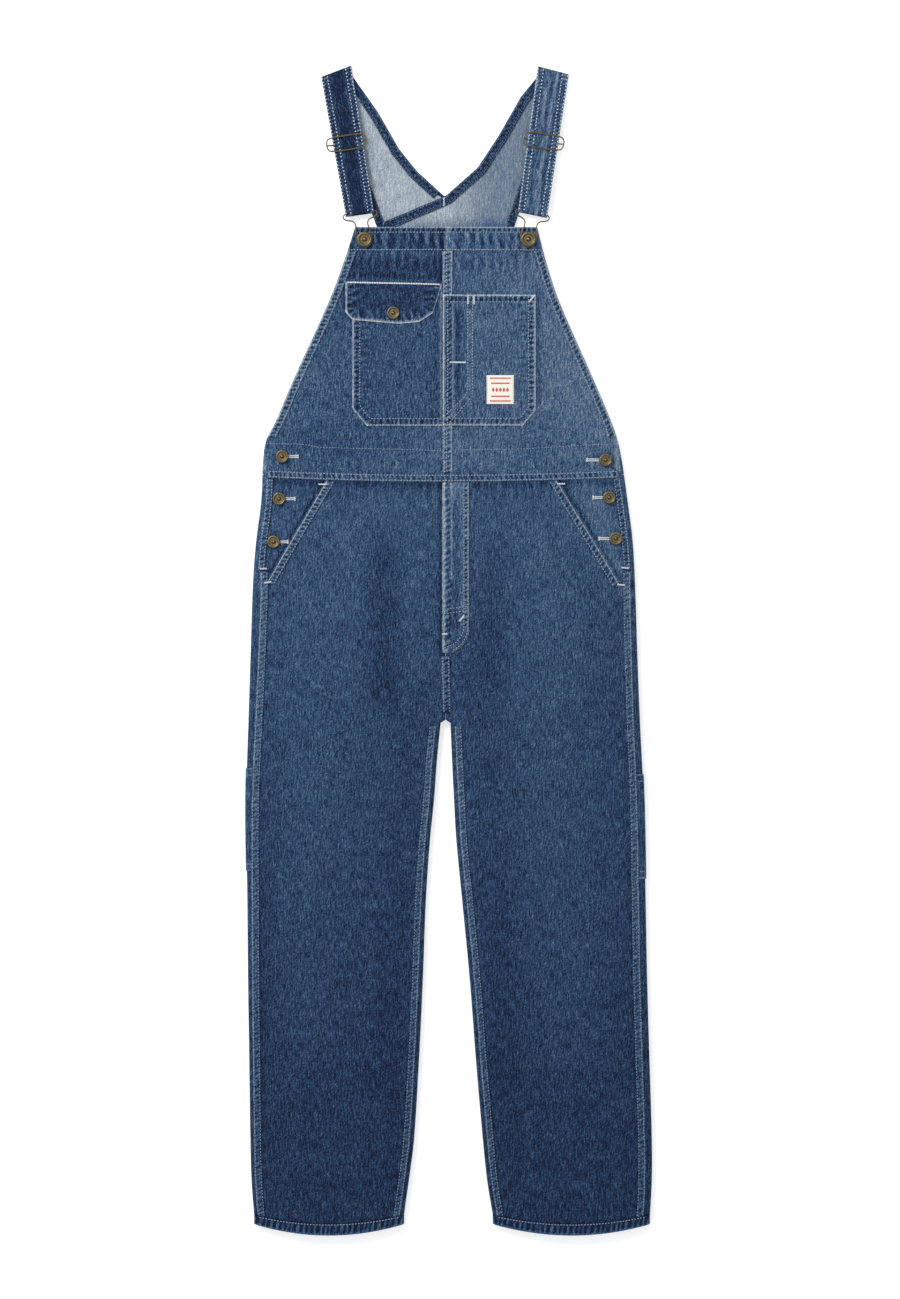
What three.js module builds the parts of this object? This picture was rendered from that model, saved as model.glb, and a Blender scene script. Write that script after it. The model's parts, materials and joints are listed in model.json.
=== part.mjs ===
import * as THREE from 'three';

// Denim dungarees laid flat on their back, front up, with the straps folded over at the shoulders.
// X runs across the garment and the wearer's right is -X, Y runs from the hems up to the straps, Z is up.
// All sizes are in millimetres. Every cloth piece is a wall of its real thickness.

const GAP = 0.3;
const LIFT = 0.4;
const FACING_LIFT = 0.5;
const DENIM = 1.5;
const BAND = 1.0;
const POCKET_CLOTH = 1.2;
const HEM_CLOTH = 2.4;
const STRAP_CLOTH = 1.8;
const WIRE = 1.0;

const CENTRE_X = -4.5;
const BIB_CENTRE_X = -2.5;
const CROTCH_Y = -91.5;
const CROTCH_RISE = 12;
const CROTCH_NOTCH = 4;
const WAIST_SIDE_Y = 228;
const WAIST_SAG = 6;
const BIB_TOP_Y = 550;
const BIB_BAND_DEPTH = 31;
const ARMHOLE_FOOT_Y = 276;
const HEM_SEAM_Y = -735;
const HEM_EDGE_Y = -747;
const SIDE_ROUND = 5;
const BACK_TOP_Y = 545;
const FLY_TOP_Y = 217;
const TOOL_POCKET = { right: { top: -154, foot: -288 }, left: { top: -162, foot: -298 } };

const EDGE_WIDTH = 11;
const INSEAM_WIDTH = 9;
const PLACKET = { width: 9, footY: 108 };
const UNDERLAP = { width: 30, footY: 100 };
const FACING_WIDTH = { neck: 11, armhole: 10 };
const SHANK_BUTTON = { radius: 8.4, shank: 1.2 };
const BIB_BUTTON_RADIUS = 9.8;
const SLIDER = { halfHeight: 8.5, corner: 5 };

const SIDES = { right: -1, left: 1 };

// Outer edge of the whole garment on the wearer's right and left, from the top of the bib to the hems.
const OUTLINE = [
  { y: 551, right: -122, left: 114.5 },
  { y: 506, right: -136.5, left: 126 },
  { y: 454, right: -156, left: 143 },
  { y: 350, right: -203, left: 188.5 },
  { y: 298, right: -225, left: 210.5 },
  { y: 272, right: -238, left: 219.5 },
  { y: 246, right: -242, left: 225 },
  { y: 194, right: -244.5, left: 232.5 },
  { y: 142, right: -251, left: 239 },
  { y: 90, right: -255, left: 242 },
  { y: -14, right: -258.5, left: 245.5 },
  { y: -92, right: -261, left: 248.5 },
  { y: -196, right: -264, left: 253.5 },
  { y: -326, right: -262.5, left: 256 },
  { y: -430, right: -261.5, left: 258 },
  { y: -534, right: -260, left: 261 },
  { y: -638, right: -258.5, left: 264 },
  { y: -690, right: -257, left: 264 },
  { y: -736, right: -253.5, left: 261.5 },
  { y: -762, right: -250, left: 259 },
];

// Inner edge of each leg below the crotch.
const INSIDE_LEG = [
  { y: -95, right: -10.8, left: 1.8 },
  { y: -144, right: -15.6, left: 3.9 },
  { y: -196, right: -19.5, left: 6.5 },
  { y: -248, right: -24.7, left: 9.5 },
  { y: -326, right: -30, left: 17 },
  { y: -430, right: -34, left: 27 },
  { y: -534, right: -39, left: 35 },
  { y: -638, right: -45.5, left: 44 },
  { y: -690, right: -52, left: 49.5 },
  { y: -736, right: -58.5, left: 57 },
  { y: -762, right: -61.5, left: 62 },
];

// Height of the upper layer at its sides and how far it crowns above that in the middle.
const RISE = [
  { y: 551, side: 5.6, crown: 1.6 },
  { y: 454, side: 6, crown: 2.8 },
  { y: 350, side: 7, crown: 4.2 },
  { y: 272, side: 8.2, crown: 5.4 },
  { y: 223, side: 9, crown: 6 },
  { y: 142, side: 11, crown: 6.4 },
  { y: 38, side: 13, crown: 6 },
  { y: -92, side: 13, crown: 5 },
  { y: -762, side: 13, crown: 5 },
];

// Distance of the side seam's strip from the garment's edge.
const SIDE_SEAM = [
  { y: 228, right: 5, left: 5 },
  { y: 142, right: 6, left: 5 },
  { y: 90, right: 10, left: 6 },
  { y: 51, right: 11, left: 7 },
  { y: -144, right: 8.5, left: 8.5 },
  { y: -326, right: 6, left: 9 },
  { y: -638, right: 5, left: 9 },
  { y: -762, right: 5, left: 8.5 },
];
const SEAM_WIDTH = 10;

// Slanted edge of each hip pocket, top to bottom.
const HIP_POCKET = {
  right: { topX: -164, topY: 219, footX: -239.5, footY: 86.5 },
  left: { topX: 145.5, topY: 219, footX: 225, footY: 84 },
};

// Broad soft hollows in the thighs and shins, each along a line and taking the height down by its depth.
const HOLLOWS = [
  { x: -84, y0: 130, y1: -70, width: 34, depth: 2.4 },
  { x: 62, y0: 150, y1: -40, width: 36, depth: 2.0 },
  { x: -150, y0: -330, y1: -520, width: 46, depth: 1.6 },
  { x: 150, y0: -300, y1: -540, width: 46, depth: 1.6 },
];

const STRAPS = {
  right: {
    fold: { inner: [-127.4, 761], outer: [-166.4, 746] },
    foot: { inner: [-97.5, 567.5], outer: [-134, 562.3] },
    slider: { inner: [-108, 663], outer: [-158.6, 655.2] },
    button: [-110, 533.4],
  },
  left: {
    fold: { inner: [115.7, 760], outer: [156, 749.5] },
    foot: { inner: [89.7, 568.8], outer: [127.4, 561] },
    slider: { inner: [97.5, 665], outer: [148.9, 657.2] },
    button: [103.2, 533.4],
  },
};

const SIDE_BUTTONS = {
  right: [[-217, 251], [-221, 196], [-228, 140]],
  left: [[203.6, 246.5], [208.3, 197.6], [216.8, 144.2]],
};

const FLAP_BUTTON = [-72.5, 437.5];

const CLOTH_COLOUR = 0x3f5b80;
const BIB_COLOUR = 0x486383;
const SHADE_COLOUR = 0x2f4668;
const INSIDE_COLOUR = 0xa4afb9;
const FACING_COLOUR = 0x2a3a58;
const BRASS_COLOUR = 0x6e5f46;
const LABEL_COLOUR = 0xe6dcc6;

const cloth = (color) => new THREE.MeshStandardMaterial({ color, roughness: 0.88, metalness: 0 });
const brass = () => new THREE.MeshStandardMaterial({ color: BRASS_COLOUR, roughness: 0.42, metalness: 0.9 });

const garment = new THREE.Group();

const clamp = (value) => Math.min(1, Math.max(0, value));
const mix = (a, b, t) => a + (b - a) * t;
const arch = (t) => 1 - (2 * clamp(t) - 1) ** 2;
const steps = (count) => Array.from({ length: count + 1 }, (_, index) => index / count);

function ease(from, to, value) {
  const t = clamp((value - from) / (to - from));
  return t * t * (3 - 2 * t);
}

// Reads one column of a table at any height, with a smooth curve through its rows.
function along(table, column, y) {
  const last = table.length - 1;
  if (y >= table[0].y) return table[0][column];
  if (y <= table[last].y) return table[last][column];
  const i = table.findIndex((row) => row.y <= y) - 1;
  const slope = (k) => {
    const above = table[Math.max(0, k - 1)];
    const below = table[Math.min(last, k + 1)];
    return (below[column] - above[column]) / (below.y - above.y);
  };
  const span = table[i + 1].y - table[i].y;
  const t = (y - table[i].y) / span;
  const from = table[i][column];
  const to = table[i + 1][column];
  return (1 + 2 * t) * (1 - t) ** 2 * from + t * (1 - t) ** 2 * span * slope(i)
    + t * t * (3 - 2 * t) * to + t * t * (t - 1) * span * slope(i + 1);
}

const outerX = (side, y) => along(OUTLINE, side, y);

function innerX(side, y) {
  const notch = clamp((CROTCH_Y - y) / CROTCH_NOTCH);
  return mix(CENTRE_X + SIDES[side] * GAP / 2, along(INSIDE_LEG, side, y), notch);
}

// How far the panels of the two legs have parted, from 0 above the crotch to 1 at it and below.
const parted = (y) => 1 - ease(CROTCH_Y, CROTCH_Y + CROTCH_RISE, y);

const seamDepth = (side, y) => along(SIDE_SEAM, side, y);
const seamX = (side, y) => outerX(side, y) - SIDES[side] * (seamDepth(side, y) + SEAM_WIDTH / 2);

function waistY(x) {
  const right = outerX('right', WAIST_SIDE_Y);
  return WAIST_SIDE_Y - WAIST_SAG * arch((x - right) / (outerX('left', WAIST_SIDE_Y) - right));
}

function hollowDepth(x, y) {
  return HOLLOWS.reduce((sum, hollow) => {
    const reach = ease(hollow.y1 - 60, hollow.y1 + 20, y) * (1 - ease(hollow.y0 - 20, hollow.y0 + 60, y));
    return sum + hollow.depth * reach * Math.exp(-(((x - hollow.x) / hollow.width) ** 2));
  }, 0);
}

// Height of the upper layer's outer face anywhere over the bib, hips and legs.
function topZ(x, y) {
  const right = outerX('right', y);
  const left = outerX('left', y);
  const side = x < CENTRE_X ? 'right' : 'left';
  const joined = ease(CROTCH_Y, CROTCH_Y + 150, y);
  const wholeArch = arch((x - right) / (left - right));
  const legArch = arch((x - outerX(side, y)) / (innerX(side, y) - outerX(side, y)));
  const crown = along(RISE, 'crown', y) * mix(legArch, wholeArch, joined);
  const edge = Math.abs(x - outerX(side, y));
  const height = along(RISE, 'side', y);
  const nearWaist = ease(120, 215, y) * (1 - ease(270, 300, y));
  const droop = nearWaist * (height - 6.5) * (1 - clamp(edge / 24)) ** 2;
  return height + crown - droop - hollowDepth(x, y);
}

// Adds a closed solid of points and quads to the garment, with its faces turned outwards.
function addSolid(name, points, quads, material) {
  const triangles = quads.flatMap(([a, b, c, d]) => [[a, b, c], [a, c, d]]);
  const cone = ([a, b, c]) => points[a].dot(points[b].clone().cross(points[c]));
  const volume = triangles.reduce((sum, triangle) => sum + cone(triangle), 0);
  const faces = volume < 0 ? triangles.map(([a, b, c]) => [a, c, b]) : triangles;
  const geometry = new THREE.BufferGeometry().setFromPoints(points);
  geometry.setIndex(faces.flat());
  geometry.computeVertexNormals();
  const mesh = new THREE.Mesh(geometry, material);
  mesh.name = name;
  garment.add(mesh);
}

// A wall between two grids of points. A ring closes on itself across its columns.
function addWall(name, outer, inner, material, ring = false) {
  const rows = outer.length;
  const columns = outer[0].length;
  const points = [...outer.flat(), ...inner.flat()].map(([x, y, z]) => new THREE.Vector3(x, y, z));
  const outside = (r, c) => r * columns + (c % columns);
  const inside = (r, c) => rows * columns + outside(r, c);
  const across = ring ? columns : columns - 1;
  const quads = [];
  for (let r = 0; r < rows - 1; r += 1) {
    for (let c = 0; c < across; c += 1) {
      quads.push([outside(r, c), outside(r, c + 1), outside(r + 1, c + 1), outside(r + 1, c)]);
      quads.push([inside(r, c), inside(r + 1, c), inside(r + 1, c + 1), inside(r, c + 1)]);
    }
  }
  for (let c = 0; c < across; c += 1) {
    quads.push([outside(0, c), inside(0, c), inside(0, c + 1), outside(0, c + 1)]);
    const r = rows - 1;
    quads.push([outside(r, c), outside(r, c + 1), inside(r, c + 1), inside(r, c)]);
  }
  for (let r = 0; r < rows - 1 && !ring; r += 1) {
    quads.push([outside(r, 0), outside(r + 1, 0), inside(r + 1, 0), inside(r, 0)]);
    const c = columns - 1;
    quads.push([outside(r, c), inside(r, c), inside(r + 1, c), outside(r + 1, c)]);
  }
  addSolid(name, points, quads, material);
}

// Moves a section path of [x, y, z] points square to itself in the XZ plane.
function offsetSection(path, distance, ring = false) {
  const count = path.length;
  return path.map(([x, y, z], i) => {
    const before = path[ring ? (i + count - 1) % count : Math.max(0, i - 1)];
    const after = path[ring ? (i + 1) % count : Math.min(count - 1, i + 1)];
    const dx = after[0] - before[0];
    const dz = after[2] - before[2];
    const length = Math.hypot(dx, dz);
    return [x - (dz / length) * distance, y, z + (dx / length) * distance];
  });
}

// A flat-lying piece over the upper layer: place(u, v) gives its [x, y] and lift(x, y) its height above it.
function addPatch(name, place, { across, down, lift, thickness, material }) {
  const grid = (extra) => steps(down).map((v) => steps(across).map((u) => {
    const [x, y] = place(u, v);
    return [x, y, topZ(x, y) + lift(x, y) + extra];
  }));
  addWall(name, grid(thickness), grid(0), material);
}

const onPanel = () => LIFT;

// The waist row follows the waist's sag, which dies out towards the hips and the bib.
function sagged(x, y) {
  return y + (waistY(x) - WAIST_SIDE_Y) * ease(60, WAIST_SIDE_Y, y) * (1 - ease(WAIST_SIDE_Y, 330, y));
}

// Moves a row's point down by the waist's sag and by the dip of the hem, which hangs lowest in the middle.
// share is 1 on the upper layer and 0 on the floor.
function settle(side, x, y, share = 1) {
  const t = (x - outerX(side, y)) / (innerX(side, y) - outerX(side, y));
  const nearHem = 1 - ease(HEM_SEAM_Y, -600, y);
  return sagged(x, y) - nearHem * arch(t) * mix(3, 11, share);
}

function upperPoint(side, x, y) {
  const settled = settle(side, x, y);
  return [x, settled, topZ(x, settled)];
}

const ARC = [0, 45, 90].map((degrees) => (degrees * Math.PI) / 180);

// The quarter round at a leg's inner edge, from the flat to the edge at half height.
function innerRound(side, y, upper) {
  const round = SIDE_ROUND;
  const edge = innerX(side, y);
  const flatX = edge + SIDES[side] * round;
  const top = topZ(flatX, y);
  const middle = along(RISE, 'side', y) / 2;
  return ARC.map((angle) => {
    const x = edge + SIDES[side] * round * (1 - Math.sin(angle));
    const bend = parted(y) * (1 - Math.cos(angle));
    const settled = settle(side, x, y, upper ? 1 : 0);
    const z = upper ? mix(topZ(x, settled), top, parted(y)) - (top - middle - GAP / 2) * bend
      : (middle - GAP / 2) * bend;
    return [x, settled, z];
  });
}

// The half round at the garment's side, from the floor up to the flat of the upper layer.
function outerRound(side, y) {
  const edge = outerX(side, y);
  const top = topZ(edge - SIDES[side] * SIDE_ROUND, y);
  const place = (angle, z) => [edge - SIDES[side] * SIDE_ROUND * (1 - Math.sin(angle)), y, z];
  const rise = (angle) => (top / 2) * (1 - Math.cos(angle));
  const lower = ARC.map((angle) => place(angle, rise(angle)));
  const upper = ARC.slice(0, -1).reverse().map((angle) => place(angle, top - rise(angle)));
  return [...lower, ...upper];
}

function pocketLineX(side, y) {
  const line = HIP_POCKET[side];
  const slope = (line.footX - line.topX) / (line.footY - line.topY);
  return line.topX + slope * (y - line.topY);
}

// Outer edge of the front leg: the slanted pocket edge above, the side seam below it.
function frontEdgeX(side, y) {
  const reach = SIDES[side];
  return reach * Math.min(reach * seamX(side, y), reach * pocketLineX(side, y));
}

const hipRows = (footY) => steps(6).map((t) => mix(WAIST_SIDE_Y - GAP, footY, t));

function legRows(side) {
  const pocketFoot = HIP_POCKET[side].footY + 2;
  const hips = [...hipRows(pocketFoot), ...steps(4).slice(1).map((t) => mix(pocketFoot, CROTCH_Y + 16, t))];
  const fork = [CROTCH_Y + 7, CROTCH_Y, CROTCH_Y - CROTCH_NOTCH, CROTCH_Y - 16];
  const shin = steps(11).slice(1).map((t) => mix(CROTCH_Y - 16, HEM_SEAM_Y + GAP, t));
  return [...hips, ...fork, ...shin];
}

// Offsets a leg's section and squares its inner end, so that front and back meet face to face there.
function legInner(row, side, end, upper) {
  const moved = offsetSection(row, SIDES[side] * DENIM);
  const [x, y, z] = row[end];
  const open = parted(y);
  const inward = upper ? -DENIM : DENIM;
  moved[end] = [x + SIDES[side] * DENIM * open, y, z + inward * (1 - open)];
  return moved;
}

function addFrontLeg(side) {
  const sign = SIDES[side];
  const outer = legRows(side).map((y) => {
    const from = frontEdgeX(side, y) - sign * (GAP / 2);
    const round = innerRound(side, y, true);
    const flat = steps(8).slice(0, -1).map((t) => upperPoint(side, mix(from, round[0][0], t), y));
    return [...flat, ...round];
  });
  const inner = outer.map((row) => legInner(row, side, row.length - 1, true));
  addWall(`${side}_front_leg`, outer, inner, cloth(CLOTH_COLOUR));
}

function addBackLeg(side) {
  const sign = SIDES[side];
  const outer = legRows(side).map((y) => {
    const start = [...innerRound(side, y, false)].reverse();
    const end = outerRound(side, y);
    const from = start[start.length - 1][0];
    const floor = steps(4).slice(1, -1).map((t) => {
      const x = mix(from, end[0][0], t);
      return [x, settle(side, x, y, 0), 0];
    });
    return [...start, ...floor, ...end, upperPoint(side, seamX(side, y) + sign * (GAP / 2), y)];
  });
  const inner = outer.map((row) => legInner(row, side, 0, false));
  addWall(`${side}_back_leg`, outer, inner, cloth(SHADE_COLOUR));
}

// The turned-up hem is a ring of thicker cloth that carries on the leg's section.
// It is deeper in the middle of the front.
function addHem(side) {
  const sign = SIDES[side];
  const upper = innerRound(side, HEM_SEAM_Y, true);
  const lower = [...innerRound(side, HEM_SEAM_Y, false)].reverse();
  const outside = outerRound(side, HEM_SEAM_Y);
  const last = outside[outside.length - 1];
  const top = steps(8).slice(1, -1).map((t) => upperPoint(side, mix(last[0], upper[0][0], t), HEM_SEAM_Y));
  const from = lower[lower.length - 1][0];
  const floor = steps(4).slice(1, -1).map((t) => [mix(from, outside[0][0], t), HEM_SEAM_Y, 0]);
  const section = [...top, ...upper, ...lower, ...floor, ...outside];
  const place = (path, drop) => path.map(([x, , z], i) => {
    const [pathX, , pathZ] = section[i];
    const share = clamp(pathZ / 13);
    const t = (pathX - outerX(side, HEM_SEAM_Y)) / (innerX(side, HEM_SEAM_Y) - outerX(side, HEM_SEAM_Y));
    return [x, settle(side, pathX, HEM_SEAM_Y, share) - drop * (1 + 0.25 * share * arch(t)), z];
  });
  const rows = (path) => [place(path, 0), place(path, HEM_SEAM_Y - HEM_EDGE_Y)];
  const inner = offsetSection(section, sign * HEM_CLOTH, true);
  addWall(`${side}_hem`, rows(section), rows(inner), cloth(CLOTH_COLOUR), true);
}

// A strip along a leg or side that lies from one distance off an edge to another.
function addStrip(name, fromY, toY, count, edges, options = {}) {
  addPatch(name, (u, v) => {
    const y = mix(fromY, toY, v);
    const [a, b] = edges(y);
    const x = mix(a, b, u);
    return [x, options.place ? options.place(x, y) : y];
  }, {
    across: options.across ?? 1,
    down: count,
    lift: options.lift ?? onPanel,
    thickness: options.thickness ?? BAND,
    material: options.material ?? cloth(CLOTH_COLOUR),
  });
}

function addLegSeams(side) {
  const sign = SIDES[side];
  const place = (x, y) => settle(side, x, y);
  const foot = HEM_SEAM_Y + 2 * GAP;
  addStrip(`${side}_outseam`, 80, foot, 16, (y) => {
    const edge = outerX(side, y) - sign * seamDepth(side, y);
    return [edge, edge - sign * SEAM_WIDTH];
  }, { place });
  addStrip(`${side}_inseam`, CROTCH_Y - 20, foot, 13, (y) => {
    const edge = innerX(side, y) + sign * (SIDE_ROUND + 0.5);
    return [edge, edge + sign * INSEAM_WIDTH];
  }, { place });
}

function addHip(side) {
  const sign = SIDES[side];
  const line = HIP_POCKET[side];
  const top = WAIST_SIDE_Y - GAP;
  const foot = line.footY + 2;
  const outer = hipRows(foot).map((y) => steps(4).map((u) => {
    const x = mix(seamX(side, y) - sign * (GAP / 2), pocketLineX(side, y) + sign * (GAP / 2), u);
    return upperPoint(side, x, y);
  }));
  const inner = outer.map((row) => offsetSection(row, sign * DENIM));
  addWall(`${side}_hip_facing`, outer, inner, cloth(CLOTH_COLOUR));
  const belowWaist = (x, y) => sagged(x, y - 4.5);
  addStrip(`${side}_pocket_edge`, top, foot, 6, (y) => {
    const edge = pocketLineX(side, y) - sign * GAP;
    return [edge, edge - sign * EDGE_WIDTH];
  }, { place: belowWaist });
  addStrip(`${side}_side_placket`, top, PLACKET.footY, 4, (y) => {
    const edge = outerX(side, y) - sign * (SIDE_ROUND + 0.5);
    return [edge, edge - sign * PLACKET.width];
  }, { place: belowWaist, across: 2 });
  addStrip(`${side}_underlap`, top - 4, UNDERLAP.footY, 4, (y) => {
    const edge = outerX(side, y) - sign * (SIDE_ROUND + 4);
    return [edge, edge - sign * UNDERLAP.width];
  }, { place: sagged, across: 2, lift: () => -(2 * DENIM + GAP), thickness: DENIM });
}

// The narrow side pocket shows from the side seam round to half the leg's height.
function addToolPocket(side) {
  const sign = SIDES[side];
  const { top, foot } = TOOL_POCKET[side];
  const grid = (distance) => steps(4).map((v) => {
    const y = mix(top, foot, v);
    const round = outerRound(side, y).slice(3);
    const x = outerX(side, y) - sign * (seamDepth(side, y) - GAP);
    return offsetSection([...round, [x, y, topZ(x, y)]], -sign * distance);
  });
  addWall(`${side}_tool_pocket`, grid(GAP + BAND), grid(GAP), cloth(SHADE_COLOUR));
}

function addBib(side) {
  const sign = SIDES[side];
  const outer = steps(13).map((v) => steps(6).map((u) => {
    const y = mix(BIB_TOP_Y, WAIST_SIDE_Y + GAP, v);
    const x = mix(outerX(side, y), BIB_CENTRE_X + sign * (GAP / 2), u);
    const settled = sagged(x, y);
    return [x, settled, topZ(x, settled)];
  }));
  const inner = outer.map((row) => offsetSection(row, sign * DENIM));
  addWall(`${side}_bib`, outer, inner, cloth(BIB_COLOUR));
  addStrip(`${side}_bib_edge`, BIB_TOP_Y - BIB_BAND_DEPTH - GAP, ARMHOLE_FOOT_Y, 10, (y) => {
    const edge = outerX(side, y) - sign * 0.6;
    return [edge, edge - sign * EDGE_WIDTH];
  }, { material: cloth(BIB_COLOUR) });
}

function addFrontSeams() {
  addStrip('bib_top_band', BIB_TOP_Y, BIB_TOP_Y - BIB_BAND_DEPTH, 2, (y) => [
    outerX('right', y) + 0.6, outerX('left', y) - 0.6,
  ], { across: 8, material: cloth(SHADE_COLOUR) });
  addStrip('bib_centre_seam', BIB_TOP_Y - BIB_BAND_DEPTH - GAP, 230, 9, () => [-9, 4.6], {
    material: cloth(BIB_COLOUR),
  });
  addPatch('waist_seam', (u, v) => {
    const x = mix(outerX('right', WAIST_SIDE_Y) + 7, outerX('left', WAIST_SIDE_Y) - 7, u);
    return [x, waistY(x) + mix(5.5, -4, v)];
  }, { across: 20, down: 1, lift: onPanel, thickness: BAND, material: cloth(SHADE_COLOUR) });
  const rise = { top: -9, foot: CROTCH_Y + 9 };
  addStrip('front_rise_seam', rise.top, rise.foot, 3, (y) => {
    const t = (y - rise.foot) / (rise.top - rise.foot);
    return [mix(-8, -10.4, t), mix(2.5, 1.3, t)];
  });
}

// The fly's edge runs straight down and turns in a quarter round to its foot.
function addFly() {
  const foot = { y: -6.5, turnY: 26, left: -9, right: 26 };
  const rows = [FLY_TOP_Y, 180, 140, 100, 60, foot.turnY, 15, 6, 0, -4];
  const rightX = (y) => {
    const t = clamp((foot.turnY - y) / (foot.turnY - foot.y));
    return mix(foot.left, foot.right, Math.sqrt(1 - t * t));
  };
  addPatch('fly', (u, v) => {
    const y = rows[Math.round(v * (rows.length - 1))];
    return [mix(foot.left, rightX(y), u), y];
  }, {
    across: 2,
    down: rows.length - 1,
    lift: onPanel,
    thickness: POCKET_CLOTH,
    material: cloth(BIB_COLOUR),
  });
}

function addFlapPocket() {
  const top = 474;
  const foot = 290.5;
  const clipY = 313;
  const leftX = (y) => (y > clipY ? -125.5 : mix(-106.5, -125.5, (y - foot) / (clipY - foot)));
  const rows = [top, 440, 405, 370, 335, clipY, foot];
  addPatch('flap_pocket', (u, v) => {
    const y = rows[Math.round(v * (rows.length - 1))];
    return [mix(leftX(y), -9.4, u), y];
  }, {
    across: 4,
    down: rows.length - 1,
    lift: onPanel,
    thickness: POCKET_CLOTH,
    material: cloth(BIB_COLOUR),
  });
  const edge = [
    { x: -134.6, y: 439 }, { x: -125.5, y: 429 }, { x: -95, y: 426 }, { x: -65, y: 423.5 },
    { x: -38.5, y: 426 }, { x: -21, y: 437.5 }, { x: -10, y: 472 },
  ];
  addPatch('pocket_flap', (u, v) => {
    const point = edge[Math.round(u * (edge.length - 1))];
    const hinge = mix(478.5, 476, u);
    return [point.x, mix(hinge, Math.min(point.y, hinge - 3), v)];
  }, {
    across: edge.length - 1,
    down: 3,
    lift: () => LIFT + GAP + POCKET_CLOTH,
    thickness: BAND,
    material: cloth(SHADE_COLOUR),
  });
}

// The plain chest pocket is sewn over the bib's centre seam, so its inner edge is lifted by that strip.
const pocketLift = (x) => LIFT + (GAP + BAND) * (1 - ease(5.5, 12.5, x));

function addChestPocket() {
  const rows = [461.5, 425, 390, 350, 311, 291];
  const rightX = (y) => (y > 310 ? 112.8 : 96);
  const columns = [-8, 5.5, 12.5, 40, 67, 90, 1];
  addPatch('chest_pocket', (u, v) => {
    const y = rows[Math.round(v * (rows.length - 1))];
    const index = Math.round(u * (columns.length - 1));
    return [index === columns.length - 1 ? rightX(y) : columns[index], y];
  }, {
    across: columns.length - 1,
    down: rows.length - 1,
    lift: pocketLift,
    thickness: POCKET_CLOTH,
    material: cloth(BIB_COLOUR),
  });
  addPatch('label', (u, v) => [mix(49, 84.4, u), mix(356.5, 319, v)], {
    across: 2,
    down: 2,
    lift: () => LIFT + GAP + POCKET_CLOTH,
    thickness: 0.8,
    material: cloth(LABEL_COLOUR),
  });
}

function addBackBib() {
  const rows = steps(8).map((v) => mix(BACK_TOP_Y, WAIST_SIDE_Y + GAP, v));
  const grid = (z) => rows.map((y) => steps(6).map((u) => {
    const x = mix(outerX('right', y) + 1, outerX('left', y) - 1, u);
    return [x, sagged(x, y), z];
  }));
  addWall('back_bib', grid(0), grid(DENIM), cloth(SHADE_COLOUR));
}

// The two back pieces cross below the neck, the wearer's left one on top.
const BACK_PIECES = {
  right: {
    outer: [{ y: 732, x: -164 }, { y: 650, x: -131 }, { y: 545.3, x: -92 }],
    inner: [
      { y: 746, x: -125 }, { y: 700, x: -92.5 }, { y: 652, x: -65 }, { y: 623, x: -41.5 },
      { y: 591, x: -6.5 }, { y: 572, x: 37 }, { y: 545.3, x: 80 },
    ],
  },
  left: {
    outer: [{ y: 735, x: 154 }, { y: 650, x: 119 }, { y: 530, x: 78 }],
    inner: [
      { y: 745, x: 114 }, { y: 720, x: 93.5 }, { y: 670, x: 65 }, { y: 628, x: 37.5 },
      { y: 591, x: -4 }, { y: 557, x: -84.5 }, { y: 530, x: -88 },
    ],
  },
};

function onLine(points, t) {
  const place = t * (points.length - 1);
  const i = Math.min(points.length - 2, Math.floor(place));
  return [mix(points[i].x, points[i + 1].x, place - i), mix(points[i].y, points[i + 1].y, place - i)];
}

// Height of the crossing piece: it climbs on to the other back piece along that one's inner edge.
function crossingZ(side, x, y) {
  if (side === 'right') return 0;
  const edge = BACK_PIECES.right.inner;
  const i = Math.max(0, Math.min(edge.length - 2, edge.findIndex((point) => point.y <= y) - 1));
  const t = clamp((y - edge[i].y) / (edge[i + 1].y - edge[i].y));
  const reach = y < edge[edge.length - 1].y ? 1000 : mix(edge[i].x, edge[i + 1].x, t);
  return (DENIM + GAP) * (1 - ease(reach + 15, reach + 105, x));
}

function backPoint(side, u, v) {
  const [outX, outY] = onLine(BACK_PIECES[side].outer, v);
  const [inX, inY] = onLine(BACK_PIECES[side].inner, v);
  return [mix(outX, inX, u), mix(outY, inY, u)];
}

function addBackPiece(side) {
  const grid = (extra) => steps(14).map((v) => steps(6).map((u) => {
    const [x, y] = backPoint(side, u, v);
    return [x, y, crossingZ(side, x, y) + extra];
  }));
  addWall(`${side}_back_strap`, grid(0), grid(DENIM), cloth(INSIDE_COLOUR));
}

// A facing is the dark band that lies along one edge of a back piece.
function addFacing(name, side, alongEdge, fromV, toV, width) {
  const grid = (extra) => steps(12).map((k) => steps(1).map((u) => {
    const v = mix(fromV, toV, k);
    const [x, y] = alongEdge(v, u * width);
    return [x, y, crossingZ(side, x, y) + DENIM + FACING_LIFT + extra];
  }));
  addWall(name, grid(BAND), grid(0), cloth(FACING_COLOUR));
}

function addFacings(side) {
  const sign = SIDES[side];
  const neck = BACK_PIECES[side].inner;
  const arm = BACK_PIECES[side].outer;
  const inset = (points, direction) => (v, distance) => {
    const [x, y] = onLine(points, v);
    const [nextX, nextY] = onLine(points, Math.min(1, v + 0.02));
    const [lastX, lastY] = onLine(points, Math.max(0, v - 0.02));
    const length = Math.hypot(nextX - lastX, nextY - lastY);
    const across = (distance + 0.8) * direction;
    return [x + (across * (nextY - lastY)) / length, y - (across * (nextX - lastX)) / length];
  };
  const end = side === 'left' ? { neck: 0.79, armhole: 0.9 } : { neck: 0.64, armhole: 0.96 };
  addFacing(`${side}_neck_facing`, side, inset(neck, sign * -1), 0.09, end.neck, FACING_WIDTH.neck);
  addFacing(`${side}_armhole_facing`, side, inset(arm, sign), 0.1, end.armhole, FACING_WIDTH.armhole);
}

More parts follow.
